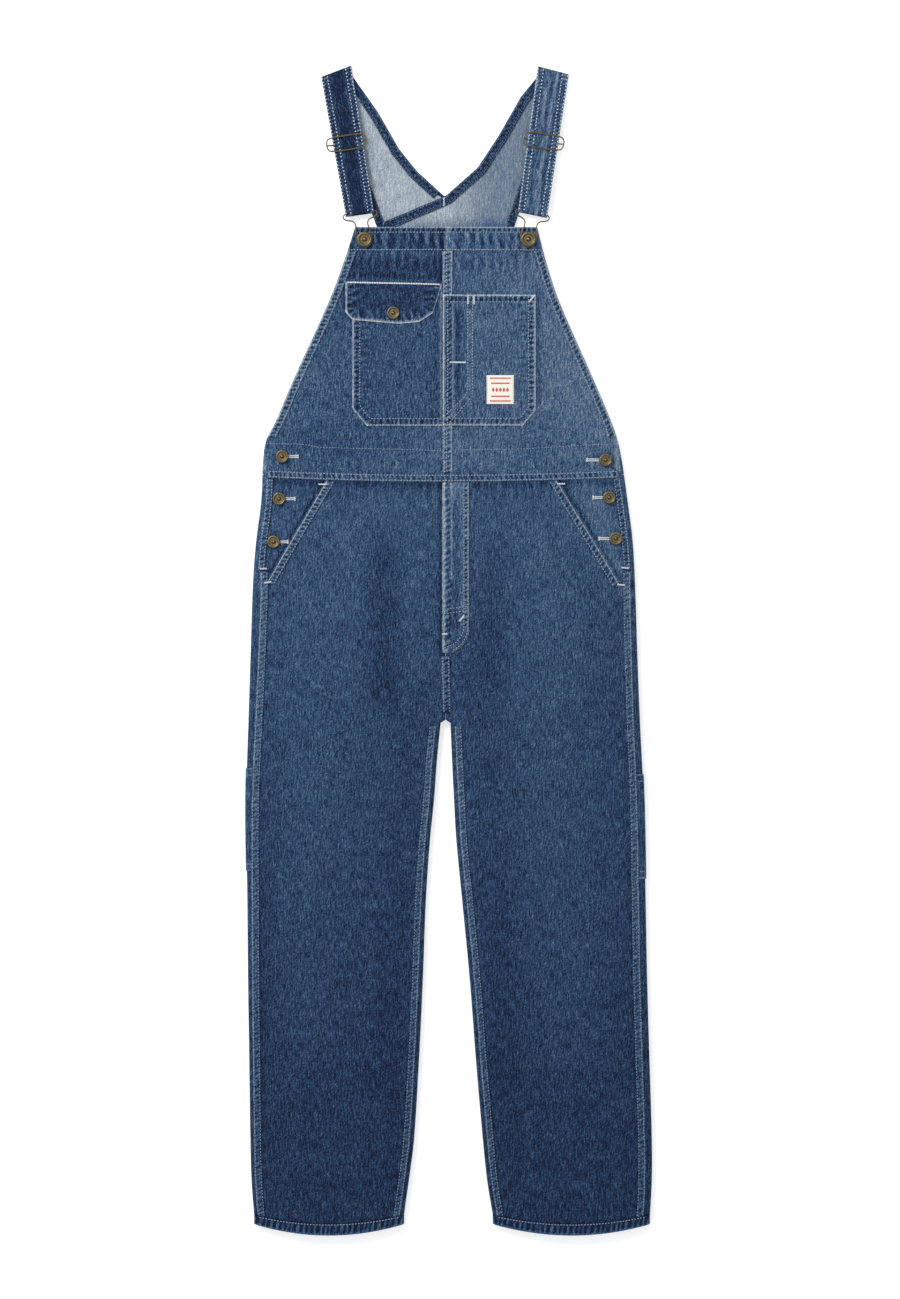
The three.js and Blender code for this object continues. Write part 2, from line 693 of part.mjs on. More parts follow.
// A strap is one ribbon: over the shoulder fold, down the front, round the buckle's bar and up to the slider.
const STRAP_RUN = 190;
const BAR_BACK = 3.4;
const BAR_RADIUS = 2.4;
const SLIDER_RUN = 100;
const STRAP_Z = { floor: 0.9, fold: 3.9, slider: 8.4, buckle: 11.6 };
const WIRE_Z = STRAP_Z.buckle - BAR_RADIUS;
const SLIDER_Z = STRAP_Z.slider + STRAP_CLOTH / 2 + GAP + WIRE;
const SLIDER_BAR_Z = STRAP_Z.slider - STRAP_CLOTH / 2 - GAP - WIRE;
const REAR_DROP = 2 * BAR_RADIUS;

function strapPoint(side, run, across) {
  const { fold, foot } = STRAPS[side];
  const t = run / STRAP_RUN;
  const edge = (key, axis) => mix(fold[key][axis], foot[key][axis], t);
  return [0, 1].map((axis) => mix(edge('outer', axis), edge('inner', axis), across));
}

function turn(run, z, radius, fromDegrees, toDegrees) {
  return steps(5).map((t) => {
    const angle = (mix(fromDegrees, toDegrees, t) * Math.PI) / 180;
    return [run + radius * Math.cos(angle), 0, z + radius * Math.sin(angle)];
  });
}

function strapPath() {
  const foldRadius = (STRAP_Z.fold - STRAP_Z.floor) / 2;
  const foldRun = foldRadius + STRAP_CLOTH / 2;
  const barRun = STRAP_RUN - BAR_BACK;
  const overFold = turn(foldRun, STRAP_Z.floor + foldRadius, foldRadius, 270, 90);
  const roundBar = turn(barRun, WIRE_Z, BAR_RADIUS, 90, -90);
  return [
    [13, 0, STRAP_Z.floor],
    ...overFold,
    [22, 0, 4.9],
    [60, 0, 7],
    [SLIDER_RUN - 12, 0, STRAP_Z.slider],
    [SLIDER_RUN + 12, 0, STRAP_Z.slider],
    [150, 0, 10.4],
    ...roundBar,
    [150, 0, 10.4 - REAR_DROP],
    [SLIDER_RUN + 12, 0, STRAP_Z.slider - 4.4],
    [SLIDER_RUN - 8, 0, STRAP_Z.slider - 4.4],
  ];
}

function addStrap(side) {
  const path = strapPath();
  const grid = (distance) => offsetSection(path, distance).map(([run, , z]) => steps(2).map((across) => {
    const [x, y] = strapPoint(side, run, across);
    return [x, y, z];
  }));
  addWall(`${side}_strap`, grid(STRAP_CLOTH / 2), grid(-STRAP_CLOTH / 2), cloth(SHADE_COLOUR));
}

function addTube(name, curve, segments, closed) {
  const geometry = closed ? new THREE.TubeGeometry(curve, segments, WIRE, 6, true)
    : new THREE.ExtrudeGeometry(
      new THREE.Shape(steps(6).slice(0, -1).map((t) => new THREE.Vector2(
        WIRE * Math.cos(t * 2 * Math.PI),
        WIRE * Math.sin(t * 2 * Math.PI),
      ))),
      { steps: segments, extrudePath: curve },
    );
  const mesh = new THREE.Mesh(geometry, brass());
  mesh.name = name;
  garment.add(mesh);
}

// The slider is a rounded wire frame over the strap, with its middle bar passing under the strap.
function addSlider(side) {
  const { inner, outer } = STRAPS[side].slider;
  const centre = [(inner[0] + outer[0]) / 2, (inner[1] + outer[1]) / 2];
  const half = Math.hypot(inner[0] - outer[0], inner[1] - outer[1]) / 2;
  const angle = Math.atan2(inner[1] - outer[1], inner[0] - outer[0]);
  const place = (a, b, z) => new THREE.Vector3(
    centre[0] + a * Math.cos(angle) - b * Math.sin(angle),
    centre[1] + a * Math.sin(angle) + b * Math.cos(angle),
    z,
  );
  const { halfHeight, corner } = SLIDER;
  const corners = [[1, 1], [-1, 1], [-1, -1], [1, -1]];
  const outline = corners.flatMap(([signA, signB], index) => [0, 45, 90].map((degrees) => {
    const turned = ((degrees + 90 * index) * Math.PI) / 180;
    return place(
      signA * (half - corner) + corner * Math.cos(turned),
      signB * (halfHeight - corner) + corner * Math.sin(turned),
      SLIDER_Z,
    );
  }));
  addTube(`${side}_slider`, new THREE.CatmullRomCurve3(outline, true, 'centripetal'), 32, true);
  const endZ = SLIDER_Z - 2 * WIRE - GAP;
  const halfBar = [
    [half + 1, endZ], [half - 0.6, endZ - 0.4], [half - 2.6, SLIDER_BAR_Z + 0.3], [half - 5, SLIDER_BAR_Z],
  ];
  const bar = [...halfBar.map(([a, z]) => [-a, z]), [0, SLIDER_BAR_Z], ...[...halfBar].reverse()];
  const barCurve = new THREE.CatmullRomCurve3(bar.map(([a, z]) => place(a, 0, z)), false, 'centripetal');
  addTube(`${side}_slider_bar`, barCurve, 14, false);
}

// Half of the buckle's wire from its bar down to the foot of the loop round the button.
const BUCKLE_WIRE = [
  { across: 22.3, up: -2.4 },
  { across: 21.6, up: -5.6 },
  { across: 17.5, up: -8 },
  { across: 11.5, up: -9.8 },
  { across: 8.4, up: -13 },
  { across: 8, up: -18 },
  { across: 9.4, up: -25 },
  { across: 10, up: -32 },
  { across: 8.2, up: -40 },
  { across: 4.4, up: -44 },
];
const BUCKLE_BAR_HALF = 20;
const BUCKLE_FOOT = -45.4;

function addBuckle(side) {
  const [x0, y0] = strapPoint(side, STRAP_RUN - BAR_BACK, 0);
  const [x1, y1] = strapPoint(side, STRAP_RUN - BAR_BACK, 1);
  const [buttonX, buttonY] = STRAPS[side].button;
  const middle = [(x0 + x1) / 2, (y0 + y1) / 2];
  const width = Math.hypot(x1 - x0, y1 - y0);
  const acrossX = (x1 - x0) / width;
  const acrossY = (y1 - y0) / width;
  const upSign = acrossX > 0 ? 1 : -1;
  const drop = Math.hypot(buttonX - middle[0], buttonY - middle[1]);
  const fromButton = -35.6;
  const place = (across, up) => {
    const lean = clamp(up / fromButton);
    const x = middle[0] + lean * (buttonX - middle[0] - upSign * acrossY * drop);
    const y = middle[1] + lean * (buttonY - middle[1] + upSign * acrossX * drop);
    return new THREE.Vector3(
      x + across * acrossX - upSign * acrossY * up,
      y + across * acrossY + upSign * acrossX * up,
      WIRE_Z,
    );
  };
  const half = BUCKLE_WIRE.map(({ across, up }) => [across, up]);
  const points = [
    [-BUCKLE_BAR_HALF, 0], [-BUCKLE_BAR_HALF / 2, 0], [0, 0], [BUCKLE_BAR_HALF / 2, 0], [BUCKLE_BAR_HALF, 0],
    ...half,
    [0, BUCKLE_FOOT],
    ...[...half].reverse().map(([across, up]) => [-across, up]),
  ];
  const curve = new THREE.CatmullRomCurve3(points.map(([a, b]) => place(a, b)), true, 'centripetal');
  addTube(`${side}_buckle`, curve, 56, true);
}

// A dished metal button on a short shank.
function addButton(name, x, y, z, { radius, shank }) {
  const head = radius * 0.2;
  const profile = [
    [0, 0], [radius * 0.34, 0], [radius * 0.34, shank], [radius * 0.95, shank + 0.1],
    [radius, shank + head * 0.8], [radius * 0.86, shank + head * 1.7], [radius * 0.6, shank + head * 1.1], [0, shank + head * 1.3],
  ];
  const geometry = new THREE.LatheGeometry(profile.map(([r, h]) => new THREE.Vector2(r, h)), 12);
  const mesh = new THREE.Mesh(geometry, brass());
  mesh.name = name;
  mesh.rotation.x = Math.PI / 2;
  mesh.position.set(x, y, z);
  garment.add(mesh);
}

function addButtons() {
  for (const side of Object.keys(SIDES)) {
    SIDE_BUTTONS[side].forEach(([x, y], index) => {
      addButton(`${side}_side_button_${index + 1}`, x, y, topZ(x, y) + LIFT, SHANK_BUTTON);
    });
    const [x, y] = STRAPS[side].button;
    const seat = topZ(x, y) + LIFT + BAND + GAP;
    const shank = WIRE_Z + WIRE + GAP - seat;
    addButton(`${side}_bib_button`, x, y, seat, { radius: BIB_BUTTON_RADIUS, shank });
  }
  const flapTop = topZ(...FLAP_BUTTON) + LIFT + 2 * GAP + POCKET_CLOTH + BAND;
  addButton('flap_button', ...FLAP_BUTTON, flapTop, SHANK_BUTTON);
}

for (const side of Object.keys(SIDES)) {
  addFrontLeg(side);
  addBackLeg(side);
  addHem(side);
  addLegSeams(side);
  addToolPocket(side);
  addHip(side);
  addBib(side);
  addBackPiece(side);
  addFacings(side);
  addStrap(side);
  addSlider(side);
  addBuckle(side);
}
addFrontSeams();
addFly();
addFlapPocket();
addChestPocket();
addBackBib();
addButtons();

// The origin is on the floor under the middle of the garment.
garment.updateMatrixWorld(true);
const box = new THREE.Box3().setFromObject(garment, true);
garment.position.set(-(box.min.x + box.max.x) / 2, -(box.min.y + box.max.y) / 2, -box.min.z);

export default garment;
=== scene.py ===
"""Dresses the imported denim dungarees: worn twill, thread, metal, floor, light and camera.

Sizes are millimetres in the garment's own plan: X to the wearer's left, Y up the garment, Z off the floor.
They turn into the frame's metres only where a mesh is made.
"""

import json
import logging
import math
from dataclasses import dataclass
from enum import Enum
from typing import Callable, ClassVar, Sequence

import bpy
import numpy as np
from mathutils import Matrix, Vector

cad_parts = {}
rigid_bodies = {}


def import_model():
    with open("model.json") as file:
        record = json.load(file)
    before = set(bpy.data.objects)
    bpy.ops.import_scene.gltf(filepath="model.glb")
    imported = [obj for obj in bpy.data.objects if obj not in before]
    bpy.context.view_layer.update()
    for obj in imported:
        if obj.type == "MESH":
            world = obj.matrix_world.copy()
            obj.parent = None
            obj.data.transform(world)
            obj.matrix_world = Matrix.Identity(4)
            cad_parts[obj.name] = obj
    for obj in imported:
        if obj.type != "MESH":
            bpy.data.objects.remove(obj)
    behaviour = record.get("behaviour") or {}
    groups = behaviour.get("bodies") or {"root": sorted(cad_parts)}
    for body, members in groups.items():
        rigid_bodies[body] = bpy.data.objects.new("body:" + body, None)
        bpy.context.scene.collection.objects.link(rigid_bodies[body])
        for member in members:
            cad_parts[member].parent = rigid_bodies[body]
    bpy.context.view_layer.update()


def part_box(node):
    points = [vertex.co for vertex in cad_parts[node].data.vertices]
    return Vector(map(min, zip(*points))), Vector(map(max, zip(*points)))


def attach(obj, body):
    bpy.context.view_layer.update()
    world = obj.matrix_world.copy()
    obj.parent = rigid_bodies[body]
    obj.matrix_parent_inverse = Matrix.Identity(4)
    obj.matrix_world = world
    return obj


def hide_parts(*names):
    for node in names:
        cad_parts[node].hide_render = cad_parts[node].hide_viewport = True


Thing = bpy.types.Object
Socket = bpy.types.NodeSocket
Tree = bpy.types.NodeTree
ShaderNode = bpy.types.Node

LOG = logging.getLogger("dungarees")
Array = np.ndarray
Point = tuple[float, float]
Line = Sequence[Point]
Edge = Callable[[Array], Array]
Field = Callable[[Array, Array], Array]
Locate = Callable[[Array, Array], tuple[Array, Array]]


class Side(Enum):
    """The wearer's side."""

    RIGHT = "right"
    LEFT = "left"

    @property
    def sign(self) -> int:
        """-1 on the wearer's right and 1 on the left."""
        return -1 if self is Side.RIGHT else 1

    def node(self, part: str) -> str:
        """The CAD node of a part on this side."""
        return f"{self.value}_{part}"


@dataclass(frozen=True)
class ClothSizes:
    """Thicknesses and clearances of the cloth, as the CAD part has them."""

    gap: float = 0.3
    lift: float = 0.4
    facing_lift: float = 0.5
    denim: float = 1.5
    band: float = 1.0
    pocket: float = 1.2
    hem: float = 2.4
    strap: float = 1.8


@dataclass(frozen=True)
class Landmarks:
    """The lines that the pieces are cut to."""

    centre_x: float = -4.5
    bib_centre_x: float = -2.5
    crotch_y: float = -91.5
    crotch_rise: float = 12.0
    crotch_notch: float = 4.0
    waist_y: float = 228.0
    waist_sag: float = 6.0
    bib_top_y: float = 550.0
    band_foot_y: float = 519.0
    armhole_foot_y: float = 276.0
    hem_y: float = -735.0
    hem_edge_y: float = -747.0
    side_round: float = 5.0
    seam_width: float = 10.0


CLOTH = ClothSizes()
MARK = Landmarks()
ON_POCKET = CLOTH.lift + CLOTH.gap + CLOTH.pocket


def ease(start: float, end: float, value: Array) -> Array:
    """A smooth step from 0 at start to 1 at end."""
    t = np.clip((value - start) / (end - start), 0.0, 1.0)
    return t * t * (3 - 2 * t)


def mix(a: Array, b: Array, t: Array) -> Array:
    """The value a share t of the way from a to b."""
    return a + (b - a) * t


def arch(t: Array) -> Array:
    """A parabola that is 0 at both ends and 1 in the middle."""
    return 1 - (2 * np.clip(t, 0, 1) - 1) ** 2


class Curve:
    """A smooth curve through rows of (y, value), read at any height."""

    def __init__(self, rows: Line) -> None:
        """Keeps the rows, which run downwards.

        Args:
            rows: pairs of height and value, the highest first.
        """
        self.y = np.array([r[0] for r in rows], float)
        self.value = np.array([r[1] for r in rows], float)
        last = len(rows) - 1
        above = np.maximum(np.arange(last + 1) - 1, 0)
        below = np.minimum(np.arange(last + 1) + 1, last)
        self.slope = (self.value[below] - self.value[above]) / (self.y[below] - self.y[above])

    def __call__(self, y: Array) -> Array:
        """The value at each height, held at the ends.

        Args:
            y: plan position up.

        Returns:
            The values.
        """
        y = np.clip(y, self.y[-1], self.y[0])
        i = np.clip(np.searchsorted(-self.y, -y) - 1, 0, len(self.y) - 2)
        span = self.y[i + 1] - self.y[i]
        t = (y - self.y[i]) / span
        start = (1 + 2 * t) * (1 - t) ** 2 * self.value[i] + t * (1 - t) ** 2 * span * self.slope[i]
        end = t * t * (3 - 2 * t) * self.value[i + 1] + t * t * (t - 1) * span * self.slope[i + 1]
        return start + end


OUTLINE = {
    Side.RIGHT: Curve([
        (551, -122), (506, -136.5), (454, -156), (350, -203), (298, -225), (272, -238), (246, -242),
        (194, -244.5), (142, -251), (90, -255), (-14, -258.5), (-92, -261), (-196, -264), (-326, -262.5),
        (-430, -261.5), (-534, -260), (-638, -258.5), (-690, -257), (-736, -253.5), (-762, -250),
    ]),
    Side.LEFT: Curve([
        (551, 114.5), (506, 126), (454, 143), (350, 188.5), (298, 210.5), (272, 219.5), (246, 225),
        (194, 232.5), (142, 239), (90, 242), (-14, 245.5), (-92, 248.5), (-196, 253.5), (-326, 256),
        (-430, 258), (-534, 261), (-638, 264), (-690, 264), (-736, 261.5), (-762, 259),
    ]),
}
INSIDE_LEG = {
    Side.RIGHT: Curve([
        (-95, -10.8), (-144, -15.6), (-196, -19.5), (-248, -24.7), (-326, -30), (-430, -34), (-534, -39),
        (-638, -45.5), (-690, -52), (-736, -58.5), (-762, -61.5),
    ]),
    Side.LEFT: Curve([
        (-95, 1.8), (-144, 3.9), (-196, 6.5), (-248, 9.5), (-326, 17), (-430, 27), (-534, 35),
        (-638, 44), (-690, 49.5), (-736, 57), (-762, 62),
    ]),
}
SIDE_HEIGHT = Curve([
    (551, 5.6), (454, 6), (350, 7), (272, 8.2), (223, 9), (142, 11), (38, 13), (-92, 13), (-762, 13),
])
CROWN = Curve([
    (551, 1.6), (454, 2.8), (350, 4.2), (272, 5.4), (223, 6), (142, 6.4), (38, 6), (-92, 5), (-762, 5),
])
SIDE_SEAM = {
    Side.RIGHT: Curve([
        (228, 5), (142, 6), (90, 10), (51, 11), (-144, 8.5), (-326, 6), (-638, 5), (-762, 5),
    ]),
    Side.LEFT: Curve([
        (228, 5), (142, 5), (90, 6), (51, 7), (-144, 8.5), (-326, 9), (-638, 9), (-762, 8.5),
    ]),
}


@dataclass(frozen=True)
class Hollow:
    """A broad soft trough in a leg, along a line at x from y0 down to y1."""

    x: float
    y0: float
    y1: float
    width: float
    depth: float

    def at(self, x: Array, y: Array) -> Array:
        """How deep the trough is at each point."""
        reach = ease(self.y1 - 60, self.y1 + 20, y) * (1 - ease(self.y0 - 20, self.y0 + 60, y))
        return self.depth * reach * np.exp(-(((x - self.x) / self.width) ** 2))


HOLLOWS = (
    Hollow(-84, 130, -70, 34, 2.4),
    Hollow(62, 150, -40, 36, 2.0),
    Hollow(-150, -330, -520, 46, 1.6),
    Hollow(150, -300, -540, 46, 1.6),
)


@dataclass(frozen=True)
class PocketLine:
    """The slanting edge of a hip pocket."""

    top: Point
    foot: Point

    def x(self, y: Array) -> Array:
        """Where the edge is at each height."""
        slope = (self.foot[0] - self.top[0]) / (self.foot[1] - self.top[1])
        return self.top[0] + slope * (y - self.top[1])


HIP_POCKET = {
    Side.RIGHT: PocketLine((-164, 219), (-239.5, 86.5)),
    Side.LEFT: PocketLine((145.5, 219), (225, 84)),
}


class Skin:
    """The garment's upper layer as the CAD part has it, for pieces that lie on it or take its place."""

    @staticmethod
    def outer_x(side: Side, y: Array) -> Array:
        """The garment's edge."""
        return OUTLINE[side](y)

    @staticmethod
    def inner_x(side: Side, y: Array) -> Array:
        """A leg's inner edge, or the centre line above the crotch."""
        notch = np.clip((MARK.crotch_y - y) / MARK.crotch_notch, 0, 1)
        return mix(MARK.centre_x + side.sign * CLOTH.gap / 2, INSIDE_LEG[side](y), notch)

    @staticmethod
    def parted(y: Array) -> Array:
        """0 above the crotch and 1 where the legs have parted."""
        return 1 - ease(MARK.crotch_y, MARK.crotch_y + MARK.crotch_rise, y)

    @classmethod
    def seam_x(cls, side: Side, y: Array) -> Array:
        """The middle of the side seam's strip."""
        return cls.outer_x(side, y) - side.sign * (SIDE_SEAM[side](y) + MARK.seam_width / 2)

    @classmethod
    def waist_y(cls, x: Array) -> Array:
        """The waist seam, which sags in the middle.

        Args:
            x: plan position across.

        Returns:
            Its height at each point.
        """
        right = cls.outer_x(Side.RIGHT, MARK.waist_y)
        left = cls.outer_x(Side.LEFT, MARK.waist_y)
        return MARK.waist_y - MARK.waist_sag * arch((x - right) / (left - right))

    @classmethod
    def sagged(cls, x: Array, y: Array) -> Array:
        """Moves a row down with the waist's sag."""
        share = ease(60, MARK.waist_y, y) * (1 - ease(MARK.waist_y, 330, y))
        return y + (cls.waist_y(x) - MARK.waist_y) * share

    @classmethod
    def top(cls, x: Array, y: Array) -> Array:
        """Height of the upper layer's outer face.

        Args:
            x: plan position across.
            y: plan position up.

        Returns:
            The height of each point.
        """
        x, y = np.broadcast_arrays(np.asarray(x, float), np.asarray(y, float))
        right, left = cls.outer_x(Side.RIGHT, y), cls.outer_x(Side.LEFT, y)
        is_right = x < MARK.centre_x
        outer = np.where(is_right, right, left)
        inner = np.where(is_right, cls.inner_x(Side.RIGHT, y), cls.inner_x(Side.LEFT, y))
        joined = ease(MARK.crotch_y, MARK.crotch_y + 150, y)
        on_leg, on_both = arch((x - outer) / (inner - outer)), arch((x - right) / (left - right))
        crown = CROWN(y) * mix(on_leg, on_both, joined)
        height = SIDE_HEIGHT(y)
        near_waist = ease(120, 215, y) * (1 - ease(270, 300, y))
        droop = near_waist * (height - 6.5) * (1 - np.clip(np.abs(x - outer) / 24, 0, 1)) ** 2
        return height + crown - droop - sum(h.at(x, y) for h in HOLLOWS)

    @classmethod
    def settle(cls, side: Side, x: Array, y: Array, share: Array = 1.0) -> Array:
        """Moves a row's point down by the waist's sag and the dip of the hem.

        Args:
            side: the leg.
            x: plan position across.
            y: the row's height.
            share: 1 on the upper layer and 0 on the floor.

        Returns:
            The plan height of each point.
        """
        outer = cls.outer_x(side, y)
        t = (x - outer) / (cls.inner_x(side, y) - outer)
        near_hem = 1 - ease(MARK.hem_y, -600, y)
        return cls.sagged(x, y) - near_hem * arch(t) * mix(3, 11, share)

    @classmethod
    def upper(cls, side: Side, x: Array, y: Array) -> Array:
        """Points of the upper layer, as x, y and z."""
        settled = cls.settle(side, x, y)
        return points(x, settled, cls.top(x, settled))

    @classmethod
    def inner_round(cls, side: Side, y: Array, upper: bool, angles: Array) -> Array:
        """The quarter round at a leg's inner edge, from the flat to the edge at half height.

        Args:
            side: the leg.
            y: rows, as a column.
            upper: True for the front panel and False for the back one.
            angles: angles round the edge in radians, as a row.

        Returns:
            Points with one row for each y.
        """
        edge = cls.inner_x(side, y)
        flat = cls.top(edge + side.sign * MARK.side_round, y)
        middle = SIDE_HEIGHT(y) / 2
        x = edge + side.sign * MARK.side_round * (1 - np.sin(angles))
        bend = cls.parted(y) * (1 - np.cos(angles))
        settled = cls.settle(side, x, y, 1.0 if upper else 0.0)
        if upper:
            z = mix(cls.top(x, settled), flat, cls.parted(y)) - (flat - middle - CLOTH.gap / 2) * bend
        else:
            z = (middle - CLOTH.gap / 2) * bend
        return points(x, settled, z)

    @classmethod
    def outer_round(cls, side: Side, y: Array, angles: Array) -> Array:
        """The half round at the garment's side, from the floor (0) up to the flat (pi).

        Args:
            side: the wearer's side.
            y: plan position up.
            angles: angles in radians, as a row.

        Returns:
            Points with one row for each y.
        """
        edge = cls.outer_x(side, y)
        top = cls.top(edge - side.sign * MARK.side_round, y)
        x = edge - side.sign * MARK.side_round * (1 - np.sin(angles))
        return points(x, y + 0 * x, top / 2 * (1 - np.cos(angles)))

    @classmethod
    def front_edge_x(cls, side: Side, y: Array) -> Array:
        """Outer edge of the front leg: the pocket's edge above, the side seam below it."""
        reach = side.sign
        return reach * np.minimum(reach * cls.seam_x(side, y), reach * HIP_POCKET[side].x(y))


def points(x: Array, y: Array, z: Array) -> Array:
    """Stacks three coordinates into an array of points."""
    return np.stack(np.broadcast_arrays(x, y, z), axis=-1).astype(float)


def stops(length: float, step: float) -> Array:
    """Shares from 0 to 1 along a length, closer together near both ends.

    Args:
        length: the length in millimetres.
        step: the spacing away from the ends.

    Returns:
        The shares, from 0 to 1.
    """
    near, inset = 0.5, 1.2
    count = max(2, round((length - 2 * inset) / step) + 1)
    middle = np.linspace(inset, length - inset, count)
    return np.concatenate([[0, near], middle, [length - near, length]]) / length


def line_field(line: Line, x: Array, y: Array) -> tuple[Array, Array]:
    """Measures from a line.

    Args:
        line: the line's corners.
        x: plan position across.
        y: plan position up.

    Returns:
        The distance from the line, positive on its left, and the distance along it.
    """
    best = np.full(np.shape(x), 1e9)
    signed, along = np.zeros(np.shape(x)), np.zeros(np.shape(x))
    run = 0.0
    for (ax, ay), (bx, by) in zip(line, line[1:]):
        dx, dy = bx - ax, by - ay
        length = math.hypot(dx, dy)
        t = np.clip(((x - ax) * dx + (y - ay) * dy) / length**2, 0, 1)
        away = np.hypot(x - ax - t * dx, y - ay - t * dy)
        side = np.sign(dx * (y - ay) - dy * (x - ax))
        closer = away < best
        best = np.where(closer, away, best)
        signed = np.where(closer, away * np.where(side == 0, 1, side), signed)
        along = np.where(closer, run + t * length, along)
        run += length
    return signed, along


def bars(along: Array, period: float, seed: float, sharp: float = 1.6) -> Array:
    """An uneven row of bars, such as shrinkage leaves along a seam.

    Args:
        along: millimetres along the seam.
        period: spacing of the bars.
        seed: varies the row.
        sharp: how square the bars are.

    Returns:
        Values from -1 to 1.
    """
    turn = 2 * math.pi * along / period
    phase = turn + 0.8 * np.sin(turn / 3.7 + seed) + 0.8 * np.sin(turn / 7.3 + 2.1 * seed)
    strength = 0.82 + 0.18 * np.sin(turn / 4.6 + 3.3 * seed)
    return np.tanh(sharp * np.sin(phase)) / math.tanh(sharp) * strength


@dataclass(frozen=True)
class Roping:
    """Bars of light ridges and dark hollows along one side of a line."""

    line: Line
    near: float
    far: float
    period: float
    wash: float
    height: float = 0.2
    slant: float = 0.0
    soft: float = 1.0
    bias: float = 0.0
    seed: float = 1.0

    def at(self, x: Array, y: Array) -> tuple[Array, Array]:
        """The wash and the height that it adds at each point.

        Args:
            x: plan position across.
            y: plan position up.

        Returns:
            The wash and the height of each point.
        """
        away, along = line_field(self.line, x, y)
        low, high = self.near - self.soft, self.far + self.soft
        band = ease(low, self.near + self.soft, away) * (1 - ease(self.far - self.soft, high, away))
        wave = bars(along + self.slant * away, self.period, self.seed)
        return self.wash * band * (wave + self.bias), self.height * band * wave


@dataclass(frozen=True)
class Streak:
    """A soft band along a line, lighter or darker, higher or lower than the cloth round it."""

    line: Line
    width: float
    wash: float
    height: float = 0.0

    def at(self, x: Array, y: Array) -> tuple[Array, Array]:
        """The wash and the height that it adds at each point.

        Args:
            x: plan position across.
            y: plan position up.

        Returns:
            The wash and the height of each point.
        """
        away, _ = line_field(self.line, x, y)
        share = np.exp(-((away / self.width) ** 2))
        return self.wash * share, self.height * share


BODY_WASH = Curve([
    (550, 0.30), (420, 0.32), (330, 0.34), (240, 0.29), (150, 0.26), (50, 0.23), (-91, 0.21), (-250, 0.20),
    (-450, 0.165), (-640, 0.125), (-760, 0.12),
])


class Relief:
    """Everything that the cloth of the body has beyond its smooth shape: puckers, streaks, fading and painted
    shade, such as dark lines beside raised seams and edges standing for their shadows, and troughs painted
    darker.
    """

    def __init__(self, marks: Sequence[Roping | Streak]) -> None:
        """Keeps the marks that are summed."""
        self.marks = marks

    def at(self, x: Array, y: Array) -> tuple[Array, Array]:
        """Wash and height of the marks alone.

        Args:
            x: plan position across.
            y: plan position up.

        Returns:
            The wash and the height of each point.
        """
        wash, height = np.zeros(np.shape(x)), np.zeros(np.shape(x))
        for mark in self.marks:
            w, h = mark.at(x, y)
            wash += w
            height += h
        return wash, height


@dataclass(frozen=True)
class EdgeWearAndShadow:
    """How much lighter a piece's borders are worn, each in wash; a value below 0 paints a dark shadow line
    along that border instead.
    """

    left: float = 0.0
    right: float = 0.0
    top: float = 0.0
    foot: float = 0.0
    width: float = 1.6


class Frame:
    """Turns the garment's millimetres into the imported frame's metres."""

    BUTTON = (-221.0, 196.0)

    def __init__(self) -> None:
        """Reads the shift from a side button's box."""
        low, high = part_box("right_side_button_2")
        x, y = self.BUTTON
        self.shift = np.array([(low.x + high.x) / 2 - x / 1000, (low.y + high.y) / 2 - y / 1000, 0.0])

    def metres(self, place: Array) -> Array:
        """Points in the frame."""
        return place / 1000 + self.shift


def add_mesh(name: str, vertices: Array, faces: Sequence[Sequence[int]],
             smooth: Array | bool = True) -> Thing:
    """Makes a mesh object in the frame, riding on the garment.

    Args:
        name: the piece's name.
        vertices: points in metres.
        faces: lists of vertex numbers.
        smooth: one flag for all the faces, or one for each.

    Returns:
        The object.
    """
    mesh = bpy.data.meshes.new(name)
    mesh.from_pydata(vertices.tolist(), [], [list(map(int, f)) for f in faces])
    flags = np.full(len(faces), smooth) if isinstance(smooth, bool) else smooth
    mesh.polygons.foreach_set("use_smooth", flags)
    mesh.update()
    piece = bpy.data.objects.new(name, mesh)
    bpy.context.scene.collection.objects.link(piece)
    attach(piece, "root")
    return piece


def add_value(piece: Thing, name: str, values: Array) -> None:
    """Stores one number for each vertex."""
    layer = piece.data.attributes.new(name, "FLOAT", "POINT")
    layer.data.foreach_set("value", np.asarray(values, np.float32).ravel())


def add_place(piece: Thing, place: Array) -> None:
    """Stores each vertex's place in the cloth, in millimetres.

    Args:
        piece: the piece.
        place: the places, as x and y.
    """
    layer = piece.data.attributes.new("place", "FLOAT_VECTOR", "POINT")
    full = np.concatenate([place, np.zeros((*place.shape[:-1], 1))], axis=-1)
    layer.data.foreach_set("vector", np.asarray(full, np.float32).ravel())


